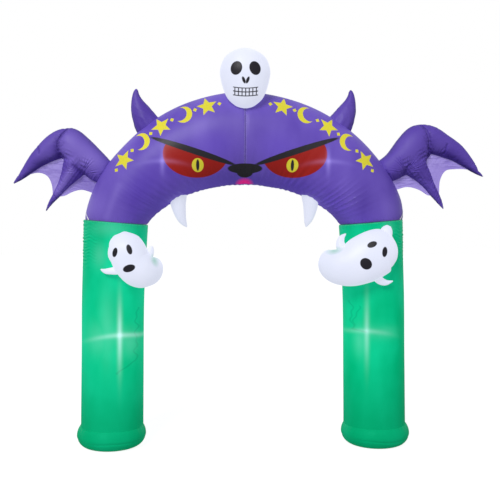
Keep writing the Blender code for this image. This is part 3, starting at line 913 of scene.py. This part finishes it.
def make_taffeta_group():
    """Thin glossy cloth: cloudy colour, fine weave and crinkles."""
    tree, start, end = group_tree(
        "taffeta",
        {"Place": "Vector", "Cloth": "Vector", "Colour": "Color", "Light colour": "Color",
         "Weave": "Float", "Crinkle": "Float"},
        {"Colour": "Color", "Roughness": "Float", "Height": "Float"})
    clouds = noise(tree, start["Place"], 2.4, 3.0, 0.55)
    streaks = noise(tree, start["Place"], 5.0, 2.0, 0.5, stretch=(1.0, 1.0, 0.35))
    shade = clamped(clouds + streaks, 1.6, -1.1)
    feed(end["Colour"], mixed(tree, shade, start["Colour"], start["Light colour"]))
    feed(end["Roughness"], reckon("MULTIPLY_ADD", clouds, 0.12, 0.38))
    u, v, _ = split(tree, start["Cloth"])
    weave = (reckon("SINE", u * WEAVE_TURNS) * reckon("SINE", v * WEAVE_TURNS)
             * Field(start["Weave"]))
    crinkles = noise(tree, start["Place"], 16.0, 4.0, 0.6) * Field(start["Crinkle"])
    feed(end["Height"], weave + crinkles)
    return tree


def make_lamp_group():
    """A small lamp inside: a soft pool on the cloth near it, and a star where it shows through."""
    tree, start, end = group_tree(
        "lamp_inside",
        {"Place": "Vector", "Lamp": "Vector", "Pool": "Float", "Upright": "Float",
         "Level": "Float"},
        {"Pool": "Float", "Star": "Float"})
    away = new_node(tree, "VectorMath", {0: start["Place"], 1: start["Lamp"]},
                    {"operation": "SUBTRACT"})
    x, y, z = split(tree, away.outputs[0])
    share = far(far(x, y), z * 0.62) / Field(start["Pool"])
    feed(end["Pool"], reckon("DIVIDE", 1.0, reckon("POWER", share, 3.0) + 1.0))
    upright = bell(x / 0.015) * bell(z / Field(start["Upright"]))
    level = bell((z + x * x * 0.8) / 0.016) * bell(x / Field(start["Level"]))
    core = reckon("EXPONENT", -(far(x, z) / 0.022))
    feed(end["Star"], upright * 0.58 + level * 0.36 + core * 0.28)
    return tree


def make_stitch_group():
    """A sewn seam: a dark line, and a row of small stitches on either side of it."""
    tree, start, end = group_tree(
        "stitched_seam",
        {"Across": "Float", "Along": "Float", "Offset": "Float"},
        {"Line": "Float", "Thread": "Float", "Height": "Float"})
    across, along = abs(Field(start["Across"])), Field(start["Along"])
    line = reckon("EXPONENT", across / -0.0022)
    dash = reckon("GREATER_THAN", reckon("SINE", along * STITCH_TURNS), -0.45)
    thread = ink(abs(across - Field(start["Offset"])) - 0.0007, 0.0006) * dash
    feed(end["Line"], line)
    feed(end["Thread"], thread)
    feed(end["Height"], thread * 0.0006 - line * 0.0012)
    return tree


def make_stretch_group():
    """Distance to one straight stretch of a seam, a fold or a lamp wire's painted shadow, seen from
    the front.
    """
    tree, start, end = group_tree(
        "straight_stretch",
        {"Place": "Vector", "Start": "Vector", "End": "Vector"}, {"Distance": "Float"})
    x, _, z = split(tree, start["Place"])
    x0, _, z0 = split(tree, start["Start"])
    x1, _, z1 = split(tree, start["End"])
    run_x, run_z = x1 - x0, z1 - z0
    share = reckon("DIVIDE", (x - x0) * run_x + (z - z0) * run_z,
                   run_x * run_x + run_z * run_z, clamp=True)
    feed(end["Distance"], far(x - x0 - run_x * share, z - z0 - run_z * share))
    return tree


# ------------------------------------------------------------------------- materials

BLACK = (0.020, 0.018, 0.022, 1.0)
RED = (0.250, 0.012, 0.009, 1.0)
YELLOW = (0.540, 0.485, 0.034, 1.0)
PINK = (1.000, 0.022, 0.310, 1.0)
BLACK_ON_WHITE = (0.005, 0.0045, 0.006, 1.0)
PURPLE = (0.078, 0.042, 0.310, 1.0)
LIGHT_PURPLE = (0.125, 0.080, 0.390, 1.0)
# Painted shade: a darker purple for edges, folds and shaded parts.
PAINTED_SHADE_PURPLE = (0.030, 0.012, 0.170, 1.0)
# Painted light: a paler purple for highlights.
PAINTED_LIGHT_PURPLE = (0.215, 0.155, 0.530, 1.0)
# Painted shade: a darker, saturated purple.
SATURATED_SHADE_PURPLE = (0.050, 0.020, 0.300, 1.0)
VIOLET = (0.130, 0.075, 0.520, 1.0)
WEB_PURPLE = (0.200, 0.150, 0.428, 1.0)
LIGHT_WEB_PURPLE = (0.258, 0.210, 0.482, 1.0)
# Painted shade in the web's creases and low on its inner left.
WEB_CREASE_SHADE = (0.085, 0.052, 0.270, 1.0)
GREEN = (0.000, 0.256, 0.107, 1.0)
LIGHT_GREEN = (0.004, 0.350, 0.176, 1.0)
# Painted shade on the legs.
PAINTED_SHADE_GREEN = (0.000, 0.166, 0.056, 1.0)
# Painted shadow of the lamp wires.
WIRE_SHADOW_GREEN = (0.000, 0.075, 0.036, 1.0)
# Painted highlights on the legs.
PAINTED_LIGHT_GREEN = (0.045, 0.342, 0.200, 1.0)
GREEN_GLOSS = (0.08, 1.0, 0.66, 1.0)
# Painted green glow where a leg shows through a ghost's tail.
GREEN_GLOW_THROUGH = (0.118, 0.180, 0.170, 1.0)
WHITE = (0.212, 0.221, 0.264, 1.0)
LIGHT_WHITE = (0.230, 0.239, 0.279, 1.0)
TAPE_WHITE = (0.800, 0.800, 0.820, 1.0)
PURPLE_STAR = (0.24, 0.21, 0.42, 1.0)
GREEN_STAR = (0.62, 0.44, 0.70, 1.0)
STITCH_OFFSET = 0.006
PUCKER_REACH = 0.030


class Finish:
    """One material in the making: its tree, its place on the arch and its layers of ink."""

    def __init__(self, name, colour, light_colour, weave=0.00002, crinkle=0.0007,
                 flat_weave=False):
        self.material = bpy.data.materials.new(name)
        self.material.use_nodes = True
        self.tree = self.material.node_tree
        self.shader = self.tree.nodes["Principled BSDF"]
        coordinates = new_node(self.tree, "TexCoord").outputs
        self.place = new_node(self.tree, "Mapping", Vector=coordinates["Object"],
                              Location=-MIDDLE).outputs[0]
        self.x, self.y, self.z = split(self.tree, self.place)
        self.facing = split(self.tree, coordinates["Normal"])[1]
        threads = coordinates["UV"]
        if flat_weave:
            threads = new_node(self.tree, "CombineXYZ", X=self.x, Y=self.z).outputs[0]
        cloth = place_group(self.tree, TAFFETA, Place=self.place, Cloth=threads, Colour=colour,
                            Light_colour=light_colour, Weave=weave, Crinkle=crinkle)
        self.colour, self.height = cloth["Colour"], Field(cloth["Height"])
        feed(self.shader.inputs["Roughness"], cloth["Roughness"])
        self.glow = None
        self.star = None

    def print(self, mask, ink_colour):
        self.colour = mixed(self.tree, mask, self.colour, ink_colour)

    def patch(self, x, z, reach, share, shade, squash=(1.0, 1.0), across=None):
        """A soft shade about a point seen from the front, reaching further where squashed."""
        across = across or self.x
        self.print(bell(far((across - x) * squash[0], (self.z - z) * squash[1]) / reach) * share,
                   shade)

    def streak(self, distance, reach, share, shade):
        """A soft shade along a line, from the distance to it or from its points."""
        if isinstance(distance, tuple):
            distance = self.beside_line(distance)
        self.print(bell(distance / reach) * share, shade)

    def lamp(self, where, pool, upright=0.16, level=0.16, shine=1.0):
        lit = place_group(self.tree, LAMP, Place=self.place, Lamp=where, Pool=pool,
                          Upright=upright, Level=level)
        pool, star = Field(lit["Pool"]), Field(lit["Star"]) * shine
        self.glow = self.glow + pool if self.glow else pool
        self.star = self.star + star if self.star else star

    def beside_line(self, points, place=None):
        """Distance to a line through points of the arch, seen from the front."""
        places = [(x, 0.0, z) for x, z in points]
        return either(*(Field(place_group(self.tree, STRETCH, Place=place or self.place,
                                          Start=start, End=end)["Distance"])
                        for start, end in zip(places[:-1], places[1:])))

    def swaying(self, length, reach):
        """The place, swung from side to side as it goes up, for a line that hangs in waves."""
        sway = (reckon("SINE", self.z * (2 * math.pi / length))
                + reckon("SINE", self.z * (3.3 * math.pi / length)))
        return new_node(self.tree, "CombineXYZ", X=self.x + sway * (reach / 2),
                        Z=self.z).outputs[0]

    def wing_line(self, line, beyond=0.0):
        """Distance to that seam or fold of either wing, or to a line so far beyond it."""
        return either(*(self.beside_line([(side * (x + beyond), z)
                                          for x, z in WING_SEAMS[side_name][line]])
                        for side_name, side in SIDES.items()))

    def seam(self, across, along, dark=0.55, light=0.35, gathered=0.0):
        """A sewn line; gathered is how deep the cloth puckers beside it."""
        sewn = place_group(self.tree, STITCHES, Across=across, Along=along, Offset=STITCH_OFFSET)
        self.print(Field(sewn["Line"]) * dark, BLACK)
        self.print(Field(sewn["Thread"]) * light, TAPE_WHITE)
        self.height = self.height + Field(sewn["Height"])
        if gathered:
            wrinkles = noise(self.tree, self.place, 48.0, stretch=(1.0, 1.0, 0.22)) - 0.5
            beside_seam = bell(across / PUCKER_REACH)
            self.height = self.height + wrinkles * beside_seam * gathered
            # Painted shade in the puckers beside the seam.
            self.print(ink(abs(wrinkles) - 0.02, 0.05) * beside_seam * 0.25, BLACK)

    def finish(self, base_glow, lamp_glow=0.0, star_glow=0.0, star_colour=PURPLE_STAR,
               gloss=0.22):
        """Wire the layers into the shader; inner light takes the colour of the cloth it passes."""
        bump = new_node(self.tree, "Bump", Strength=0.6, Distance=1.0, Height=self.height)
        level = self.glow * lamp_glow + base_glow if self.glow else base_glow
        shade = new_node(self.tree, "CombineXYZ", X=level, Y=level, Z=level).outputs[0]
        light = mixed(self.tree, 1.0, self.colour, shade, "MULTIPLY")
        if star_glow:
            starlit = reckon("MULTIPLY", self.star, star_glow, clamp=True)
            light = mixed(self.tree, starlit, light, star_colour, "ADD")
        for label, value in (("Base Color", self.colour), ("Normal", bump.outputs[0]),
                             ("Emission Color", light), ("Emission Strength", 1.0),
                             ("Specular IOR Level", gloss)):
            feed(self.shader.inputs[label], value)
        return self.material


BAND_RADIUS = 1.050
BAND_STEP = math.radians(9.4)
BAND_START = math.radians(9.6)
BAND_COUNT = 5


def star_shape(a, b, point, notch):
    """Five-pointed star with a point towards +b."""
    fifth = math.radians(72)
    angle = reckon("ARCTAN2", a, b)
    folded = abs(reckon("FLOORED_MODULO", angle + fifth / 2, fifth) - fifth / 2)
    run = far(a, b)
    rise = notch * math.sin(fifth / 2)
    fall = point - notch * math.cos(fifth / 2)
    length = math.hypot(rise, fall)
    return ((run * reckon("COSINE", folded) - point) * (rise / length)
            + run * reckon("SINE", folded) * (fall / length))


def band_motifs(finish):
    """Stars and crescents in turn round the arch, with small diamonds between them."""
    height = finish.z - ARCH_CENTRE_Z
    steps = (abs(reckon("ARCTAN2", finish.x, height)) - BAND_START) / BAND_STEP
    number = reckon("FLOOR", steps)
    a = (steps - number - 0.5) * (BAND_STEP * BAND_RADIUS)
    b = far(finish.x, height) - BAND_RADIUS
    odd = reckon("FLOORED_MODULO", number, 2.0)
    star = star_shape(a, b, point=0.072, notch=0.032)
    crescent = within(far(a, b) - 0.062, -(far(a - 0.025, b - 0.015) - 0.052))
    in_turn = star * (odd * -1.0 + 1.0) + crescent * odd
    diamond = abs(abs(a) - BAND_STEP * BAND_RADIUS / 2) + abs(b) - 0.015
    ends = within(-(steps + 0.1), steps - (BAND_COUNT + 0.1))
    return within(either(in_turn, diamond), ends)


def leg_seams(finish):
    """The stitched lines where the arch is sewn to the legs, on either cloth."""
    heights = []
    for side in SIDES.values():
        seam, slope = leg_seam(side)
        heights.append(finish.z - (finish.x - float(seam[0])) * float(slope) - float(seam[2]))
    to_right = reckon("GREATER_THAN", finish.x, 0.0)
    height = heights[0] * (to_right * -1.0 + 1.0) + heights[1] * to_right
    middle = reckon("MULTIPLY_ADD", to_right, 2 * LEG_ROWS[-1][1], -LEG_ROWS[-1][1])
    round_leg = reckon("ARCTAN2", finish.y, finish.x - middle) * FOOT_RADIUS
    finish.seam(height, round_leg, 0.85, 0.12, gathered=0.006)


BROW_SLOPE = 16.5
BROW_PIVOT = (0.345, 2.050)
IRIS_CENTRE = (0.322, 1.958)
FRONT_EDGE = -0.03


def purple_arch():
    """The tube's cloth, with the face and the band of motifs printed on its front."""
    finish = Finish("purple_taffeta_arch", PURPLE, LIGHT_PURPLE)
    x, y, z = finish.x, finish.y, finish.z
    side_x = abs(x)
    over_brow = turned(side_x, z, BROW_PIVOT, BROW_SLOPE)[1]
    prints = ((band_motifs(finish), YELLOW),
              (within(oval(side_x, z, (0.335, 2.035), 0.222, 0.160), over_brow), RED),
              (within(oval(side_x, z, IRIS_CENTRE, 0.040, 0.046), over_brow), YELLOW),
              (oval(side_x, z, IRIS_CENTRE, 0.011, 0.038), BLACK),
              (oval(side_x, z, (0.352, 2.054), 0.305, 0.021, BROW_SLOPE + 1.5), BLACK),
              (either(oval(x, z, (0.0, 1.938), 0.118, 0.034),
                      oval(x, z, (0.0, 1.912), 0.055, 0.032)), BLACK))
    finish.seam(x, reckon("ARCTAN2", y, z - 2.165) * 0.3)
    leg_seams(finish)
    # Painted highlights low on the left and right of the arch, and a painted highlight streak
    # beside the left lamp.
    finish.patch(-1.08, 1.69, 0.13, 0.60, PAINTED_LIGHT_PURPLE)
    finish.patch(1.02, 1.66, 0.10, 0.28, PAINTED_LIGHT_PURPLE)
    finish.streak(((-0.855, 1.82), (-0.935, 1.61)), 0.024, 0.24, PAINTED_LIGHT_PURPLE)
    finish.print(bell((z - 1.845 + x * x * 0.4) / 0.060) * bell(x / 0.55) * 0.60, VIOLET)
    finish.patch(0.20, 2.06, 0.15, 0.40, VIOLET, across=side_x)
    # Painted shade: a dark streak low on the right of the arch and a darker patch on its inner
    # left.
    finish.patch(0.80, 1.68, 0.075, 0.40, PAINTED_SHADE_PURPLE, squash=(1.0, 0.6))
    finish.patch(-0.68, 1.77, 0.15, 0.45, SATURATED_SHADE_PURPLE)
    for shape, colour in prints:
        finish.print(ink(within(shape, y - FRONT_EDGE)), colour)
    tongue = within(oval(x, z, (0.0, 1.834), 0.052, 0.036), y + 0.04)
    finish.print(ink(tongue, 0.024), PINK)
    for lamp_x in (-0.560, 0.565):
        finish.lamp((lamp_x, -0.02, 1.985), pool=0.36, upright=0.08, level=0.13)
    return finish.finish(0.26, lamp_glow=0.34, star_glow=0.85)


def purple_wing():
    """The wings' cloth, with painted shade at its edges and folds, and painted light on the left
    where light falls.
    """
    finish = Finish("purple_taffeta_wing", PURPLE, LIGHT_PURPLE, flat_weave=True)
    elbow, dart, kink, under = map(finish.wing_line, ("elbow", "dart", "kink", "under"))
    round_wing = reckon("ARCTAN2", finish.z - 2.0, abs(finish.x) - 1.25) * 0.35
    # Painted highlights along the left arm, by the left elbow and down the left spike.
    finish.streak(((-1.03, 2.00), (-1.20, 2.14)), 0.080, 0.60, PAINTED_LIGHT_PURPLE)
    finish.streak(((-1.10, 1.99), (-1.20, 2.01), (-1.24, 2.08)), 0.045, 0.42, PAINTED_LIGHT_PURPLE)
    finish.streak(((-1.21, 1.93), (-1.31, 1.79)), 0.026, 0.70, PAINTED_LIGHT_PURPLE)
    # Painted shade towards the silhouettes, under the finger and along the dart and kink folds.
    for distance, reach, share in ((finish.facing, 0.52, 0.65), (under, 0.022, 0.55),
                                   (dart, 0.018, 0.38), (kink, 0.005, 0.35)):
        finish.streak(distance, reach, share, PAINTED_SHADE_PURPLE)
    finish.seam(finish.y, round_wing, 0.55, 0.15, gathered=0.004)
    # Painted shade on the finger side of the elbow seams, stronger lower down.
    low = clamped(finish.z, -8.0, 17.5)
    finish.streak(finish.wing_line("elbow", 0.020), 0.022, low * 0.40 + 0.06, PAINTED_SHADE_PURPLE)
    finish.seam(elbow, finish.z, 0.36, 0.0, gathered=0.004)
    finish.lamp((-1.120, 0.0, 2.050), pool=0.20)
    return finish.finish(0.25, lamp_glow=0.10, gloss=0.09)


def purple_horn():
    finish = Finish("purple_taffeta_horn", PURPLE, LIGHT_PURPLE)
    # Painted shade towards the silhouettes.
    finish.streak(finish.facing, 0.50, 0.50, PAINTED_SHADE_PURPLE)
    finish.seam(finish.y, finish.z, 0.45, 0.15, gathered=0.004)
    return finish.finish(0.26, gloss=0.14)


# Where painted highlights lie on the legs' cloth: x, z, reach across and up.
LIT_PATCHES = metres(((-915, 1530, 120, 50), (-985, 1345, 45, 75), (-935, 860, 50, 210),
                       (-995, 780, 85, 100), (-785, 745, 55, 85), (795, 745, 34, 90),
                       (950, 815, 85, 40), (985, 1530, 40, 40)))
# Painted shadows of the lamp wires inside, where they show through the legs, as x, z.
WIRE_SHADOWS = metres((((-745, 980), (-752, 620), (-872, 540)), ((745, 1020), (748, 830), (845, 815)),
                ((790, 990), (755, 860))))


def green_leg():
    """The legs' cloth, with painted highlights in patches and painted shade, deeper near the floor.
    """
    finish = Finish("green_taffeta", GREEN, LIGHT_GREEN)
    finish.lamp((-0.852, 0.0, 0.802), pool=0.34, upright=0.20, level=0.17)
    finish.lamp((0.838, 0.0, 0.822), pool=0.30, upright=0.19, level=0.13, shine=0.56)
    # Painted shadows of the lamp wires, on the front of the legs.
    hanging = finish.swaying(0.11, 0.014)
    wire = either(*(finish.beside_line(points, hanging) for points in WIRE_SHADOWS)) - 0.003
    finish.print(ink(within(wire, finish.y), 0.010) * 0.34, WIRE_SHADOW_GREEN)
    leg_seams(finish)
    # Painted highlights in soft patches.
    lit_patches = either(*(far((finish.x - x) / across, (finish.z - z) / tall)
                     for x, z, across, tall in LIT_PATCHES))
    finish.streak(lit_patches, 1.0, 0.60, PAINTED_LIGHT_GREEN)
    # Painted shade: two tall darker patches on the legs, and darker towards the floor.
    finish.patch(0.90, 0.92, 0.09, 0.36, PAINTED_SHADE_GREEN, squash=(1.0, 0.4))
    finish.patch(-0.88, 1.04, 0.07, 0.30, PAINTED_SHADE_GREEN, squash=(1.0, 0.5))
    finish.print(clamped(finish.z, -2.2, 1.45) * 0.57, PAINTED_SHADE_GREEN)
    feed(finish.shader.inputs["Specular Tint"], GREEN_GLOSS)
    return finish.finish(0.72, lamp_glow=0.70, star_glow=1.0, star_colour=GREEN_STAR, gloss=0.07)


# Eyes and mouth of each ghost, and the painted green glow where the leg shows through its
# tail as it turns: centre, half width, half height, turn in degrees.
GHOST_FACES = {
    "left": (((-0.862, 1.372), 0.017, 0.032, -14.0), ((-0.766, 1.392), 0.017, 0.034, 20.0),
             ((-0.768, 1.268), 0.042, 0.024, 18.0)),
    "right": (((0.835, 1.423), 0.034, 0.019, 22.0), ((0.918, 1.374), 0.018, 0.034, -8.0),
              ((0.792, 1.296), 0.042, 0.036, -40.0)),
}
GREEN_BEHIND = {"left": ((-0.609, 1.315), 0.014, 0.030, 25.0),
                "right": ((0.600, 1.378), 0.034, 0.014, 20.0)}
GHOST_FRONT = -0.27


def white_cloth(name, shapes=None, front=0.0, green_behind=None, glow=2.85):
    """Thin white cloth, with shapes printed before the plane y = front."""
    finish = Finish(name, WHITE, LIGHT_WHITE)
    # Painted green glow where the leg shows through the thin tail.
    if green_behind:
        finish.print(ink(oval(finish.x, finish.z, *green_behind), 0.022), GREEN_GLOW_THROUGH)
    if shapes:
        face = within(either(*shapes(finish.x, finish.z)), finish.y - front)
        finish.print(ink(face), BLACK_ON_WHITE)
    return finish.finish(glow)


def white_ghost(side_name):
    return white_cloth("white_taffeta_ghost_" + side_name,
                       lambda x, z: [oval(x, z, *row) for row in GHOST_FACES[side_name]],
                       GHOST_FRONT, GREEN_BEHIND[side_name])


def skull_face(x, z):
    """Round sockets, a split nose and two rows of teeth."""
    curve = z - 2.440 - x * x * 1.5
    jaw = oblong(x, curve, 0.084, 0.0275)
    cell = reckon("FLOORED_MODULO", x, 0.024) - 0.012
    tooth = oblong(cell, abs(curve) - 0.0125, 0.0087, 0.0092)
    return (oval(abs(x), z, (0.062, 2.598), 0.038, 0.047, 14.0),
            oval(abs(x), z, (0.013, 2.517), 0.010, 0.024, -22.0), within(jaw, -tooth))


def web_purple():
    """One layer of cloth: paler than the filled ones, with fine creases along it and painted shade
    in them.
    """
    finish = Finish("purple_taffeta_web", WEB_PURPLE, LIGHT_WEB_PURPLE)
    wrinkle = noise(finish.tree, finish.place, 30.0, 1.0, stretch=(0.16, 1.0, 1.0))
    near_seams = bell(finish.wing_line("under") / 0.10) + bell(finish.wing_line("dart") / 0.11)
    crease = ink(abs(wrinkle - 0.5) - 0.040, 0.060) * near_seams
    # Painted shade low on the inner left web, and along the creases near the seams.
    finish.patch(-1.10, 1.84, 0.11, 0.52, WEB_CREASE_SHADE, squash=(0.75, 1.0))
    finish.print(crease * 0.50, WEB_CREASE_SHADE)
    finish.height = finish.height - crease * 0.0012
    feed(finish.shader.inputs["Alpha"], 0.88)
    return finish.finish(0.69)


def white_tape():
    return Finish("white_tape_woven", TAPE_WHITE, TAPE_WHITE, weave=0.00008,
                  crinkle=0.0).finish(0.1)


# ----------------------------------------------------------------------- the studio

PURE_WHITE = (1.0, 1.0, 1.0, 1.0)
FLOOR_GREY = (0.16, 0.16, 0.17, 1.0)
FLOOR_WHITENESS = 0.93
FLOOR_REACH = 30.0
DARK_FRONT = (0.08, 0.09, 0.11, 1.0)
BRIGHT_WALL = (0.75, 0.77, 0.85, 1.0)
DIM_FRONT = (0.10, 0.10, 0.12, 1.0)
SOFT_WALL = (0.46, 0.47, 0.52, 1.0)
# Name, where it comes from, softness in degrees, strength.
SUNS = (("key_light", (-0.34, -0.82, 0.60), 22.0, 2.5),
        ("fill_light", (0.50, -0.95, 0.30), 60.0, 0.25))


def make_floor():
    """Pale floor, white where the camera sees it and grey to the light."""
    bm = bmesh.new()
    bmesh.ops.create_grid(bm, x_segments=1, y_segments=1, size=FLOOR_REACH)
    floor = as_object("studio_floor", bm)
    paint = bpy.data.materials.new("floor_paint")
    paint.use_nodes = True
    seen = Field(new_node(paint.node_tree, "LightPath").outputs["Is Camera Ray"])
    surface = paint.node_tree.nodes["Principled BSDF"].inputs
    for label, value in (("Base Color", FLOOR_GREY), ("Roughness", 0.9),
                         ("Emission Color", PURE_WHITE),
                         ("Emission Strength", seen * FLOOR_WHITENESS)):
        feed(surface[label], value)
    floor.data.materials.append(paint)


def make_room():
    """A dark room with a bright wall behind, seen as plain white, and two soft lights."""
    world = bpy.data.worlds.new("studio")
    world.use_nodes = True
    bpy.context.scene.world = world
    tree = world.node_tree
    room = tree.nodes["Background"]
    direction = new_node(tree, "TexCoord").outputs["Generated"]
    _, behind, above = split(tree, direction)
    glossy = mixed(tree, clamped(behind, 1.6, 0.1), DARK_FRONT, BRIGHT_WALL)
    soft = mixed(tree, clamped(behind + above * 0.3, 0.9, 0.1), DIM_FRONT, SOFT_WALL)
    ray = new_node(tree, "LightPath").outputs
    feed(room.inputs["Color"], mixed(tree, ray["Is Glossy Ray"], soft, glossy))
    backdrop = new_node(tree, "Background", Color=PURE_WHITE)
    shown = new_node(tree, "MixShader", {0: ray["Is Camera Ray"], 1: room.outputs[0],
                                         2: backdrop.outputs[0]})
    feed(tree.nodes["World Output"].inputs["Surface"], shown.outputs[0])
    for name, towards, softness, strength in SUNS:
        lamp = bpy.data.lights.new(name, "SUN")
        lamp.angle = math.radians(softness)
        lamp.energy = strength
        item = in_scene(name, lamp)
        item.rotation_euler = (-Vector(towards)).to_track_quat("-Z", "Y").to_euler()


def make_camera():
    """Level, a little left of straight ahead, at the height of a standing photographer."""
    lens = bpy.data.cameras.new("camera")
    lens.sensor_width = 36.0
    lens.lens = 54.29
    lens.shift_x = 0.012
    lens.shift_y = -0.056
    camera = in_scene("camera", lens)
    camera.location = Vector((-0.1869, -5.3507, 1.572)) + Vector(MIDDLE)
    camera.rotation_euler = (math.pi / 2, 0.0, math.radians(-2.0))
    bpy.context.scene.camera = camera


# ---------------------------------------------------------------------------- making

def declare(piece, node, material):
    piece.data.materials.clear()
    piece.data.materials.append(material)
    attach(piece, "root")
    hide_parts(node)


def stuffed(piece, node, material):
    """A piece filled tight with air."""
    piece.name = node + "_cloth"
    declare(piece, node, material)


def stretched(side_name, part, material):
    """A web of one layer, held stretched along its seams."""
    web, free_edge, sewn_edge = make_web(side_name, part)
    node = "web_" + part + "_" + side_name
    web.name = node + "_cloth"
    declare(web, node, material)


bpy.context.scene.view_settings.view_transform = "Standard"
TAFFETA, LAMP = make_taffeta_group(), make_lamp_group()
STITCHES, STRETCH = make_stitch_group(), make_stretch_group()
make_floor()
make_room()
make_camera()

leg_material, horn_material, wing_material = green_leg(), purple_horn(), purple_wing()
fang_material = white_cloth("white_taffeta_fang", glow=2.60)
web_material, tape_material = web_purple(), white_tape()

stuffed(make_arch(), "arch_body", purple_arch())
stuffed(make_skull(), "skull",
        white_cloth("white_taffeta_skull", skull_face, SKULL_Y))
for side_name in SIDES:
    stuffed(make_leg(side_name), "leg_" + side_name, leg_material)
    stuffed(make_foot(side_name), "foot_" + side_name, leg_material)
    stuffed(make_horn(side_name), "horn_" + side_name, horn_material)
    stuffed(make_fang(side_name), "fang_" + side_name, fang_material)
    stuffed(make_ghost(side_name), "ghost_" + side_name, white_ghost(side_name))
    stuffed(make_wing(side_name), "wing_" + side_name, wing_material)
    for part in ("outer", "inner"):
        stretched(side_name, part, web_material)
    declare(make_tab(side_name), "tab_" + side_name, tape_material)
